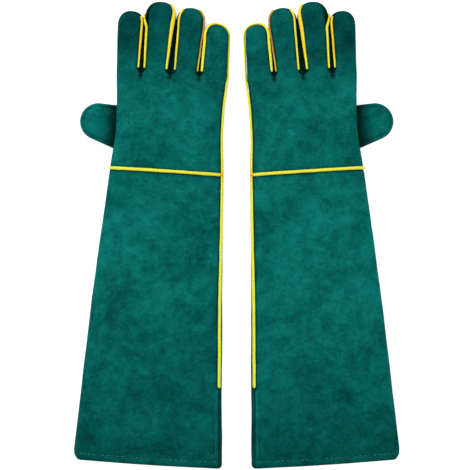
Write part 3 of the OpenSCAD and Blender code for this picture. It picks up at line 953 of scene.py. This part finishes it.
def seam_turn(name, side, v):
    """Turn of a welted seam on a finger's upper corners: the back strip widens towards the tip."""
    root, tip = SEAM_TURNS[name][side]
    turn = float(along(v, (ROOTS, root), (ROOTS + 62, tip), soften=6))
    turn = float(mix(SEAM_TURN_AT_CROTCH, turn, smooth((v - ROOTS) / 5.5)))
    if (name, side) in (("middle", 1), ("ring", 1)):
        turn = float(mix(turn, 30, smooth((v - CLEAR_FROM[name][side] + 26) / 40)))
    return turn if side else 180 - turn


FINGER_TONES = {"index": 0.45, "middle": 0.55, "ring": 0.72, "little": 0.8}


def finger_grid(glove, name, start, end, columns, seams, depth, slack, before=1.6):
    """A strip of finger leather between two turns, which may change along the finger. seams says
    which of its edges, first and last, dip into a seam. Returns the grid and its shade."""
    rows = finger_rows(name, before)
    grid, shrink = [], []
    for v, share in rows:
        turns = turns_between(start(v), end(v), 40)
        line = points_at(finger_line(name, v, share, turns), bunched(columns, 0.6))
        grid.append(np.stack((line[:, 0], np.full(len(line), v), line[:, 1]), axis=1))
        shrink.append(share)
    grid = np.array(grid)
    lengths = column_lengths(grid)
    edges = [lengths if seams[0] else lengths + 99, (lengths[:, -1:] - lengths) + (0 if seams[1] else 99)]
    from_seam = np.minimum(*edges)
    share = np.array(shrink)[:, None]
    v = grid[..., 1]
    fade = smooth(from_seam / 5) * smooth((v - ROOTS) / 12) * share
    relief = slack * hide_relief(grid[..., 0], v, glove.seed + 11) * fade
    relief += 0.6 * groove(from_seam, depth, 1.5) * share * smooth((v - ROOTS - 1) / 6)
    relief -= 0.35 * smooth((ROOTS - v) / 1.0)
    normals = section_normals(grid)
    grid = grid + normals * relief[..., None]
    grid[..., 2] = np.maximum(grid[..., 2], 0.25)
    tone = mix(0.8, FINGER_TONES[name], smooth((v - ROOTS) / 40))
    # Painted shade in the grooves beside the welts, at the tip where the leather turns down, and on the downturned
    # edges.
    seam_dark = mix(0.9, 0.15, smooth((v - ROOTS - 5) / 6))
    shade = tone * seam_shade(from_seam, seam_dark, 2.1) * mix(1, 0.5, smooth((0.8 - share) / 0.8))
    shade = shade * mix(1, painted_edge_shade(normals), smooth((v - ROOTS) / 6))
    return grid, shade


def finger_strips(glove, name, settings):
    """The back, the palm and the side walls of one finger."""
    suede_leather = material("green suede", suede)
    depth = settings.groove_depth
    outer_fold, outer_seam = name == "index", name == "little"
    low = lambda v: 180 + PALM_STRIP_TURN
    palm_end = (lambda v: 360.0) if outer_seam else (lambda v: 360 - PALM_STRIP_TURN)
    right_seam = lambda v: seam_turn(name, 1, v)
    left_seam = lambda v: seam_turn(name, 0, v)
    first = (lambda v: 0.0) if outer_seam else right_seam
    last = low if outer_fold else left_seam
    strips = {
        "back": [(first, last, 30, (True, not outer_fold))],
        "palm": [(low, palm_end, 18, (False, False))],
        "sidewalls": [],
    }
    clear_from = []
    if not outer_seam:
        strips["sidewalls"].append((lambda v: -PALM_STRIP_TURN, right_seam, 14, (False, True)))
        clear_from.append(CLEAR_FROM[name][1])
    if not outer_fold:
        strips["sidewalls"].append((left_seam, low, 14, (True, False)))
        clear_from.append(CLEAR_FROM[name][0])
    for part, edges in strips.items():
        made = [finger_grid(glove, name, *edge, depth, 0.0 if part == "sidewalls" else 0.6) for edge in edges]
        # The palm strips get painted shade underneath; the side walls get painted shade, nearly black where they face
        # a neighbouring finger and lighter where the finger stands clear of it.
        shades = [s * {"back": 1.0, "palm": 0.6, "sidewalls": 1.0}[part] for _, s in made]
        if part == "sidewalls":
            shades = [s * mix(0.16, 0.85, smooth((g[..., 1] - at + 4) / 9))
                      for s, (g, _), at in zip(shades, made, clear_from)]
        obj = make_piece(glove, f"{name}_{part}_leather", [g for g, _ in made], suede_leather,
                         "green_leather", settings.leather_thickness, shade=shades)
        nodes = [glove.name(f"{name}_{part}")]
        if part == "back" and name == "index":
            nodes.append(glove.name("knuckle_sleeves"))
        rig.replaces(obj, *nodes)
        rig.blend(obj, glove.name("hand"), glove.name(name), **glove.bend_places(*FINGER_BEND))


# ======================================================================================
# Thumb
# ======================================================================================
def thumb_rings(distances, count=132):
    """Points (x, y) of the thumb's plan in rings at distances inside its outline, ring by ring, with
    x running along the thumb from the middle of its root."""
    taper = math.asin((THUMB_ROOT_RADIUS - THUMB_TIP_RADIUS) / THUMB_TIP_REACH)
    half = math.pi / 2 - taper
    tip = np.linspace(-half, half, 45)
    root = np.linspace(half, 2 * math.pi - half, 57)
    side = np.linspace(0, 1, (count - 100) // 2 + 2)[1:-1]
    straights = [(THUMB_TIP_REACH * (1 - t), mix(THUMB_TIP_RADIUS, THUMB_ROOT_RADIUS, t)) for t in side]
    outline = [(THUMB_TIP_REACH, THUMB_TIP_RADIUS, a) for a in tip]
    outline += [(reach, radius, half) for reach, radius in straights]
    outline += [(0.0, THUMB_ROOT_RADIUS, a) for a in root]
    outline += [(reach, radius, -half) for reach, radius in reversed(straights)]
    reach, radius, angle = np.array(outline + outline[:1]).T
    rings = []
    for distance in distances:
        inner = radius * (1 - distance / distances[-1])
        rings.append(np.stack((reach + inner * np.cos(angle), inner * np.sin(angle)), axis=1))
    return np.array(rings), np.broadcast_to(np.array(distances)[:, None], (len(distances), len(reach)))


def thumb_panel(glove, part, settings):
    top = part == "back"
    distances = [0, 0.3, 0.8, 1.4, 2.0, 2.6, 3.2, 3.8, 4.4, 5.0, 5.8, 6.8, 8.0, 9.5, 11.5, 14, 17, 20.5, 24]
    rings, inside = thumb_rings(distances)
    middle = THUMB_HEIGHT / 2
    edge = 1 - np.clip(inside / (13 if top else 8), 0, 1)
    power = 2.3 if top else 3.0
    height = (middle - 0.2) * (1 - edge**power) ** (1 / power)
    z = middle + height if top else middle - height
    turn = math.radians(180 - THUMB_FORWARD)
    u = THUMB_ROOT[0] + rings[..., 0] * math.cos(turn) - rings[..., 1] * math.sin(turn)
    v = THUMB_ROOT[1] + rings[..., 0] * math.sin(turn) + rings[..., 1] * math.cos(turn)
    grid = np.stack((u, v, z), axis=-1)
    shade = np.ones_like(u)
    if top:
        seen = smooth((-62 - u) / 8)
        relief = 0.4 * hide_relief(u, v, glove.seed + 3) * smooth(inside / 7)
        relief += groove(inside - 4.3, 0.9, 1.0) + 0.45 * np.exp(-(((inside - 2.4) / 1.3) ** 2))
        grid[..., 2] += relief * seen - 0.4 * (1 - seen)
        # Painted shadow: the back darkens towards its root, under the hand's edge, and is a little lighter towards the
        # tip; painted shade also lies in the groove and along the outline.
        under_hand_shadow = smooth((u + 96) / 26)
        shade = mix(1.08, 0.16, under_hand_shadow) * seam_shade(inside - 4.3, 0.6, 1.1)
        shade = shade * seam_shade(inside, 0.5, 0.9)
    else:
        # The palm half, underneath, gets painted shade.
        shade = shade * 0.5
    grid[..., 2] = np.maximum(grid[..., 2], 0.25)
    grid = grid[:, ::-1] if top else grid
    shade = shade[:, ::-1] if top else shade
    obj = make_piece(glove, f"thumb_{part}_leather", [grid], material("green suede", suede),
                     "green_leather", settings.leather_thickness, shade=[shade])
    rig.replaces(obj, glove.name(f"thumb_{part}"))
    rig.ride(obj, glove.name("thumb"))


# ======================================================================================
# Welts
# ======================================================================================
def surface_path(places):
    """A path and its outward directions, as two arrays, from pairs of the two."""
    points, normals = zip(*places)
    return np.array(points), np.array(normals)


def body_seam_path(start, end, step=3.0):
    """The side seam between two v, just outside the leather, with its outward directions."""
    places = []
    for v in np.linspace(start, end, max(3, int((end - start) / step))):
        s = float(welt_turn(v))
        line = back_line(v, s, s + 8)
        t = line[2] - line[0]
        n = np.array((t[1], 0.0, -t[0])) / np.hypot(*t)
        places.append((np.array((line[0, 0], v, line[0, 1])), n))
    return surface_path(places)


def finger_seam_path(name, turn_at, rows):
    places = []
    for v, share in rows:
        turn = turn_at(v)
        line = finger_line(name, v, share, np.array((turn - 1.0, turn, turn + 1.0)))
        t = line[2] - line[0]
        n = np.array((t[1], 0.0, -t[0])) / max(1e-9, np.hypot(*t))
        ahead = math.sqrt(max(0.0, 1 - share**2))
        n = n * (share, 1, share) + (0, ahead, 0)
        places.append((np.array((line[1, 0], v, line[1, 1])), n / np.linalg.norm(n)))
    return surface_path(places)


def at_shares(shares, value):
    """A value at shares of a length. It is one number, or knots of (share, value)."""
    return np.interp(shares, *zip(*value)) if isinstance(value, tuple) else np.full(len(shares), float(value))


def welt_bead(path, normals, width, height, warmth, seed, rise=0.35, sides=10):
    """The grid of one welt, with its warmth and shade. It stands out of its seam by a share of its
    height. width and warmth may change along it, as in at_shares."""
    lengths = lengths_along(path)
    total = lengths[-1]
    near_end = np.array((0, 0.15, 0.4, 0.8, 1.3))
    between = np.linspace(2.0, total - 2.0, max(6, int(total / 1.8)))
    places = np.concatenate((near_end, between, total - near_end[::-1]))
    path = np.stack([np.interp(places, lengths, path[:, k]) for k in range(3)], axis=1)
    normals = np.stack([np.interp(places, lengths, normals[:, k]) for k in range(3)], axis=1)
    normals /= np.linalg.norm(normals, axis=1, keepdims=True)
    warmth = at_shares(places / total, warmth)
    wave = random_relief(places, np.zeros_like(places), 9.0, seed)
    width = at_shares(places / total, width) * (1 + 0.07 * wave)
    line = path + normals * height * rise
    side = np.cross(np.gradient(line, axis=0), normals)
    side /= np.linalg.norm(side, axis=1, keepdims=True)
    line = line + side * (0.18 * random_relief(places, np.zeros_like(places), 14.0, seed + 1))[:, None]
    grid = bead_grid(line, normals, width, height, sides)
    # Painted shade: the welt darkens towards both ends, where it sinks into its seam.
    shade = seam_shade(np.minimum(places, total - places), 0.75, 1.5)
    return grid, *(np.broadcast_to(value[:, None], grid.shape[:2]) for value in (warmth, shade))


def make_welt(glove, name, beads, replaced, bend):
    grids, warmth, shade = zip(*beads)
    obj = make_piece(glove, name, grids, material("yellow welt leather", welt_leather), "yellow_welt",
                     warmth=warmth, shade=shade)
    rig.replaces(obj, *(glove.name(n) for n in replaced))
    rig.blend(obj, glove.name(bend[0]), glove.name(bend[1]), **glove.bend_places(*bend[2]))


def body_welts(glove, settings):
    wide, tall = settings.welt_width, settings.welt_height
    wrist = ("cuff", "hand", WRIST_BEND)
    for name, node, start, end, warmth, seed in (
        ("cuff_side_welt", "cuff_welt", WELT_START, WRIST + 0.5, ((0, 0.0), (0.96, 0.04), (1, 0.7)), 21),
        ("hand_side_welt", "side_welt", WRIST - 0.5, ROOTS + 2.5, ((0, 0.7), (0.08, 0.1), (1, 0.0)), 22),
    ):
        path, normals = body_seam_path(start, end)
        bead = welt_bead(path, normals, wide, tall, warmth, glove.seed + seed, rise=0.55)
        make_welt(glove, name, [bead], [node], wrist)
    line = points_at(back_line(WRIST, float(welt_turn(WRIST)), 180.0), np.linspace(0.006, 0.995, 90))
    t = np.gradient(line, axis=0)
    t /= np.linalg.norm(t, axis=1, keepdims=True)
    normals = np.stack((t[:, 1], np.zeros(len(t)), -t[:, 0]), axis=1)
    path = np.stack((line[:, 0], np.full(len(line), WRIST + 0.6), line[:, 1]), axis=1)
    bead = welt_bead(path, normals, settings.wrist_welt_width, tall,
                     ((0, 0.8), (0.02, 0.1), (1, 0.0)), glove.seed + 23, rise=0.25)
    make_welt(glove, "wrist_welt_strip", [bead], ["wrist_welt"], wrist)


def finger_welts(glove, name, settings):
    tall = settings.welt_height
    spans = [r for r in finger_rows(name, count=40) if r[0] >= WELTED_FROM]
    reach = lambda share_left: [r for r in spans if r[1] > share_left]
    right = lambda v: seam_turn(name, 1, v)
    left = lambda v: seam_turn(name, 0, v)
    seed = glove.seed + 31
    beads = []
    if name == "index":
        beads.append((right, reach(0.8), ((0, 2.2), (0.5, 2.7), (1, 2.6)), ((0, 0.1), (0.3, 0.5), (1, 0.4))))
    if name == "middle":
        wraps = lambda v: left(v) + 46 * float(smooth((v - 556) / 22))
        beads.append((wraps, [r for r in spans if r[0] < 577], ((0, 2.3), (0.8, 3.3), (1, 2.8)),
                      ((0, 0.05), (0.6, 0.2), (1, 0.15))))
        beads.append((right, reach(0.62), ((0, 2.6), (0.5, 4.4), (0.8, 5.6), (1, 3.0)),
                      ((0, 0.1), (0.3, 0.3), (1, 0.44))))
    if name == "ring":
        beads.append((left, reach(0.6), ((0, 2.3), (0.5, 2.4), (1, 2.3)), ((0, 0.08), (0.5, 0.2), (1, 0.2))))
        # The ring finger's right welt lies in shade: its brown warmth paints that shade.
        beads.append((right, reach(0.55), ((0, 1.4), (0.6, 1.8), (1, 2.6)),
                      ((0, 0.6), (0.5, 1.0), (0.85, 0.95), (1, 0.6))))
    made = []
    for k, (turn, rows, width, warmth) in enumerate(beads):
        path, normals = finger_seam_path(name, turn, rows)
        made.append(welt_bead(path, normals, width, tall, warmth, seed + k))
    if name == "little":
        outer, outward = finger_seam_path(name, lambda v: 0.0, finger_rows(name, 2.0, 40))
        inner, inward = finger_seam_path(name, left, spans)
        path = np.concatenate((outer, inner[::-1]))
        normals = np.concatenate((outward, inward[::-1]))
        width = ((0, 4.2), (0.4, 3.6), (0.62, 4.2), (0.9, 3.8), (1, 2.8))
        warmth = ((0, 0.0), (0.45, 0.0), (0.6, 0.1), (0.8, 0.12), (1, 0.0))
        made.append(welt_bead(path, normals, width, tall, warmth, seed + 5, rise=0.5))
    make_welt(glove, f"{name}_welt", made, [f"{name}_welts"], ("hand", name, FINGER_BEND))


# ======================================================================================
# Stitches
# ======================================================================================
def stitch_tree(thread_material):
    """Geometry Nodes: short rounded stitches along the edges of a path mesh."""
    tree = bpy.data.node_groups.new("stitches along a path", "GeometryNodeTree")
    face = tree.interface
    face.new_socket("Path", in_out="INPUT", socket_type="NodeSocketGeometry")
    for name, kind, value in (
        ("Stitch Length", "Float", 0.004),
        ("Pitch", "Float", 0.006),
        ("Thread Radius", "Float", 0.0005),
        ("Missing", "Float", 0.2),
        ("Seed", "Int", 1),
        ("Thread", "Material", thread_material),
    ):
        socket = face.new_socket(name, in_out="INPUT", socket_type=f"NodeSocket{kind}")
        socket.default_value = value
    face.new_socket("Stitches", in_out="OUTPUT", socket_type="NodeSocketGeometry")

    def add(kind, inputs=None, **settings):
        made = tree.nodes.new(kind)
        for key, value in settings.items():
            setattr(made, key, value)
        for key, value in (inputs or {}).items():
            if isinstance(value, bpy.types.NodeSocket):
                tree.links.new(value, made.inputs[key])
            else:
                made.inputs[key].default_value = value
        return made

    given = add("NodeGroupInput").outputs
    curve = add("GeometryNodeMeshToCurve", {"Mesh": given["Path"]}).outputs["Curve"]
    points = add("GeometryNodeResampleCurve", {"Curve": curve, "Length": given["Pitch"]}, mode="LENGTH")
    tangent = add("GeometryNodeInputTangent").outputs["Tangent"]
    turned = add("FunctionNodeAlignRotationToVector", {"Vector": tangent}, axis="X").outputs["Rotation"]
    ball = add("GeometryNodeMeshUVSphere", {"Segments": 8, "Rings": 5, "Radius": 1.0}).outputs["Mesh"]
    half = add("ShaderNodeMath", {0: given["Stitch Length"], 1: 0.5}, operation="MULTIPLY").outputs[0]
    size = add("ShaderNodeCombineXYZ", {"X": half, "Y": given["Thread Radius"], "Z": given["Thread Radius"]})
    keep = add("FunctionNodeRandomValue", {"Probability": given["Missing"], "Seed": given["Seed"]},
               data_type="BOOLEAN").outputs[3]
    kept = add("FunctionNodeBooleanMath", {0: keep}, operation="NOT").outputs[0]
    placed = add("GeometryNodeInstanceOnPoints", {
        "Points": points.outputs["Curve"], "Selection": kept, "Instance": ball, "Rotation": turned,
        "Scale": size.outputs["Vector"]}).outputs["Instances"]
    real = add("GeometryNodeRealizeInstances", {"Geometry": placed}).outputs["Geometry"]
    dressed = add("GeometryNodeSetMaterial", {"Geometry": real, "Material": given["Thread"]})
    tree.links.new(dressed.outputs["Geometry"], add("NodeGroupOutput").inputs["Stitches"])
    return tree


def sew(glove, name, paths, body, settings, missing=0.0, replaced=(), length=None, pitch=None,
        radius=None, seed=1):
    """Makes one plain mesh of stitches along paths of points in the glove's frame."""
    thread = material("sewing thread", twisted_thread)
    tree = bpy.data.node_groups.get("stitches along a path") or stitch_tree(thread)
    points = np.concatenate(paths)
    edges, first = [], 0
    for path in paths:
        edges += [(first + k, first + k + 1) for k in range(len(path) - 1)]
        first += len(path)
    mesh = bpy.data.meshes.new(glove.name(name))
    mesh.from_pydata(glove.place(points).tolist(), edges, [])
    obj = bpy.data.objects.new(glove.name(name), mesh)
    bpy.context.scene.collection.objects.link(obj)
    sewing = obj.modifiers.new("stitches", "NODES")
    sewing.node_group = tree
    values = {
        "Stitch Length": (length or settings.stitch_length) * MM,
        "Pitch": (pitch or settings.stitch_pitch) * MM,
        "Thread Radius": (radius or settings.thread_radius) * MM,
        "Missing": missing,
        "Seed": seed + glove.seed,
        "Thread": thread,
    }
    for item in tree.interface.items_tree:
        if item.name in values and item.in_out == "INPUT":
            sewing[item.identifier] = values[item.name]
    apply_modifiers(obj)
    obj.data.materials.clear()
    obj.data.materials.append(thread)
    obj.data.polygons.foreach_set("material_index", np.zeros(len(obj.data.polygons), np.int32))
    obj.data.polygons.foreach_set("use_smooth", np.ones(len(obj.data.polygons), bool))
    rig.slot(obj, "thread")
    if replaced:
        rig.replaces(obj, *(glove.name(n) for n in replaced))
    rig.ride(obj, glove.name(body))


def crotch_path(crotch, lift):
    """A path round the slot between two fingers, on the backs of the fingers and the hand."""
    turn = np.linspace(-0.62 * np.pi, 0.62 * np.pi, 40)
    u = crotch + 5.4 * np.sin(turn)
    v = ROOTS - 1.5 - 6.2 * np.cos(turn)
    z = []
    for across, ahead in zip(u, v):
        line = back_line(min(ahead, ROOTS))
        z.append(np.interp(across, line[::-1, 0], line[::-1, 1]) + lift)
    return np.stack((u, v, z), axis=1)


def beside_seam_path(v_from, v_to, inset, lift, count=24):
    """A path beside the plain part of the side seam, on the back."""
    points = []
    for v in np.linspace(v_from, v_to, count):
        line = back_line(v, float(welt_turn(v)))
        u = line[0, 0] - inset
        z = np.interp(u, line[::-1, 0], line[::-1, 1])
        points.append((u, v + mouth_slant(v, z), z + lift))
    return np.array(points)


def back_path(v, u_from, u_to, lift, count=80):
    """A path across the back at v, a little above the leather."""
    line = back_line(v)
    u = np.linspace(u_from, u_to, count)
    z = np.interp(u, line[::-1, 0], line[::-1, 1])
    return np.stack((u, v + mouth_slant(v, z), z + lift), axis=1)


# ======================================================================================
# Settings, operators and panel
# ======================================================================================
def measure(name, description, millimetres):
    return FloatProperty(name=name, description=description, default=millimetres * MM, min=0.0,
                         precision=5, subtype="DISTANCE", unit="LENGTH")


class GauntletSizes(bpy.types.PropertyGroup):
    """Sizes that a maker would change."""

    leather_thickness: measure("Leather", "Thickness of the split leather", 1.8)
    groove_depth: measure("Seam groove", "How far leather dips into a seam", 1.5)
    welt_width: measure("Side welt width", "Width of the side welt", 4.3)
    welt_height: measure("Welt height", "Height of a welt's bead", 3.0)
    wrist_welt_width: measure("Wrist welt width", "Width of the wrist welt", 4.0)
    stitch_length: measure("Stitch", "Length of one stitch", 4.2)
    stitch_pitch: measure("Pitch", "Distance from stitch to stitch", 6.0)
    thread_radius: measure("Thread", "Radius of the thread", 0.45)


def colour(name, description, default):
    return FloatVectorProperty(name=name, description=description, default=default, size=3,
                               min=0.0, max=1.0, subtype="COLOR")


class GauntletColours(bpy.types.PropertyGroup):
    """Colours of the leathers, the lining and the thread."""

    leather_dark: colour("Leather, dark", "Dark patches of the dyed leather", (0.0015, 0.070, 0.062))
    leather: colour("Leather", "The dyed leather", (0.0025, 0.118, 0.104))
    leather_light: colour("Leather, light", "Light patches of the dyed leather", (0.004, 0.175, 0.152))
    welt_pale: colour("Welt, pale", "Greenish yellow of the welts", (0.80, 0.82, 0.05))
    welt: colour("Welt", "Golden yellow of the welts", (0.90, 0.60, 0.02))
    # Painted shade: this brown stands in for welts that lie in shadow, such as the ring finger's right one.
    welt_brown: colour("Welt, brown", "Brown of the most worn welts", (0.42, 0.20, 0.08))
    lining: colour("Lining", "Cotton lining", (0.62, 0.60, 0.50))
    thread: colour("Thread", "Sewing thread", (0.03, 0.22, 0.18))


class BuildStep:
    """What the operators share."""

    bl_options = {"REGISTER", "UNDO"}

    @staticmethod
    def sizes(context):
        """The sizes in millimetres."""
        group = context.scene.gauntlet_sizes
        return SimpleNamespace(**{name: getattr(group, name) / MM for name in group.__annotations__})


class GAUNTLETS_OT_stage(BuildStep, bpy.types.Operator):
    """Lays the pale floor, hangs the soft lights and places the camera straight above"""

    bl_idname = "gauntlets.stage"
    bl_label = "Stage"

    def execute(self, context):
        low, high = FRAME_BOX
        scene = context.scene
        mesh = bpy.data.meshes.new("floor")
        reach = 6.0
        mesh.from_pydata([(-reach, -reach, 0), (reach, -reach, 0), (reach, reach, 0), (-reach, reach, 0)],
                         [], [(0, 1, 2, 3)])
        floor = bpy.data.objects.new("floor", mesh)
        mesh.materials.append(floor_material())
        scene.collection.objects.link(floor)
        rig.stage(floor)

        world = bpy.data.worlds.new("soft room")
        world.use_nodes = True
        world.node_tree.nodes["Background"].inputs["Color"].default_value = (1.0, 1.0, 1.0, 1.0)
        world.node_tree.nodes["Background"].inputs["Strength"].default_value = 0.55
        scene.world = world
        for name, place, size, power in (
            ("key softbox", (-0.9, 1.1, 1.7), 1.2, 26),
            ("fill softbox", (1.3, -0.4, 1.8), 1.6, 12),
        ):
            lamp = bpy.data.lights.new(name, "AREA")
            lamp.shape, lamp.size, lamp.energy = "SQUARE", size, power
            holder = bpy.data.objects.new(name, lamp)
            holder.location = place
            holder.rotation_euler = (Vector((0, 0, 0)) - Vector(place)).to_track_quat("-Z", "Y").to_euler()
            scene.collection.objects.link(holder)

        camera = bpy.data.cameras.new("camera")
        camera.lens, camera.sensor_width = 100.0, 36.0
        camera.clip_start, camera.clip_end = 0.05, 50.0
        holder = bpy.data.objects.new("camera", camera)
        middle = (low + high) / 2
        distance = VIEW_WIDTH * camera.lens / camera.sensor_width
        x_shift, y_shift = CAMERA_SHIFT
        holder.location = (middle.x + x_shift, middle.y + y_shift, low.z + VIEW_HEIGHT + distance)
        scene.collection.objects.link(holder)
        scene.camera = holder
        scene.view_settings.view_transform = "Standard"
        return {"FINISHED"}


class GAUNTLETS_OT_leather(BuildStep, bpy.types.Operator):
    """Makes the back and palm leather of the cuffs, with their turned hems, and of the hands"""

    bl_idname = "gauntlets.leather"
    bl_label = "Cuffs and hands"

    def execute(self, context):
        for glove in GLOVES:
            slack = settled_slack(glove)
            for part in ("back", "palm"):
                cuff_panel(glove, part, self.sizes(context), slack)
                hand_panel(glove, part, self.sizes(context), slack)
        return {"FINISHED"}


class GAUNTLETS_OT_linings(BuildStep, bpy.types.Operator):
    """Makes the cotton linings"""

    bl_idname = "gauntlets.linings"
    bl_label = "Linings"

    def execute(self, context):
        for glove in GLOVES:
            lining_tube(glove, self.sizes(context))
        return {"FINISHED"}


class GAUNTLETS_OT_fingers(BuildStep, bpy.types.Operator):
    """Makes the back strips, palm strips and side walls of the fingers"""

    bl_idname = "gauntlets.fingers"
    bl_label = "Fingers"

    def execute(self, context):
        for glove in GLOVES:
            for name in FINGERS:
                finger_strips(glove, name, self.sizes(context))
        return {"FINISHED"}


class GAUNTLETS_OT_thumbs(BuildStep, bpy.types.Operator):
    """Makes the two halves of each thumb"""

    bl_idname = "gauntlets.thumbs"
    bl_label = "Thumbs"

    def execute(self, context):
        for glove in GLOVES:
            thumb_panel(glove, "back", self.sizes(context))
            thumb_panel(glove, "palm", self.sizes(context))
        return {"FINISHED"}


class GAUNTLETS_OT_welts(BuildStep, bpy.types.Operator):
    """Makes the yellow welts in the seams"""

    bl_idname = "gauntlets.welts"
    bl_label = "Welts"

    def execute(self, context):
        for glove in GLOVES:
            body_welts(glove, self.sizes(context))
            for name in FINGERS:
                finger_welts(glove, name, self.sizes(context))
        return {"FINISHED"}


class GAUNTLETS_OT_stitches(BuildStep, bpy.types.Operator):
    """Sews the hems, their corners and the slots between the fingers"""

    bl_idname = "gauntlets.stitches"
    bl_label = "Stitches"

    def execute(self, context):
        for glove in GLOVES:
            path = back_path(HEM_FOLD - 1.5, 84, -86, 0.15)
            sew(glove, "hem_thread", [path], "cuff", self.sizes(context), missing=0.15,
                replaced=["hem_stitches"], seed=3)
            corner = [beside_seam_path(10, 40, 3.4, 0.35), beside_seam_path(14, 30, 7.5, 0.5)]
            sew(glove, "corner_thread", corner, "cuff", self.sizes(context), length=2.2, pitch=3.1,
                radius=0.4, missing=0.1, seed=4)
            crotches = [crotch_path(span[1], 0.1) for span in list(FINGER_SPANS.values())[:-1]]
            sew(glove, "crotch_thread", crotches, "hand", self.sizes(context), length=2.0, pitch=2.9,
                radius=0.36, missing=0.12, seed=5)
        return {"FINISHED"}


STEPS = (
    GAUNTLETS_OT_stage, GAUNTLETS_OT_leather, GAUNTLETS_OT_linings, GAUNTLETS_OT_fingers,
    GAUNTLETS_OT_thumbs, GAUNTLETS_OT_welts, GAUNTLETS_OT_stitches,
)


class GAUNTLETS_PT_panel(bpy.types.Panel):
    """Lists the steps, with the sizes and colours that they use"""

    bl_idname = "GAUNTLETS_PT_panel"
    bl_label = "Gardening Gauntlets"
    bl_space_type = "VIEW_3D"
    bl_region_type = "UI"
    bl_category = "Gauntlets"

    def draw(self, context):
        for step in STEPS:
            self.layout.operator(step.bl_idname)
        for group in (context.scene.gauntlet_sizes, context.scene.gauntlet_colours):
            box = self.layout.box()
            for name in group.__annotations__:
                box.prop(group, name)


CLASSES = (GauntletSizes, GauntletColours, *STEPS, GAUNTLETS_PT_panel)


def register():
    for item in CLASSES:
        bpy.utils.register_class(item)
    bpy.types.Scene.gauntlet_sizes = PointerProperty(type=GauntletSizes)
    bpy.types.Scene.gauntlet_colours = PointerProperty(type=GauntletColours)


def unregister():
    del bpy.types.Scene.gauntlet_colours
    del bpy.types.Scene.gauntlet_sizes
    for item in reversed(CLASSES):
        bpy.utils.unregister_class(item)


def main():
    register()
    for step in STEPS:
        group, name = step.bl_idname.split(".")
        getattr(getattr(bpy.ops, group), name)()
    boxes = {
        "cad": [list(corner) for corner in FRAME_BOX],
        "visual": [list(corner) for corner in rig.bounds()],
    }
    with open("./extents.json", "w") as file:
        json.dump(boxes, file)


if __name__ == "__main__":
    main()
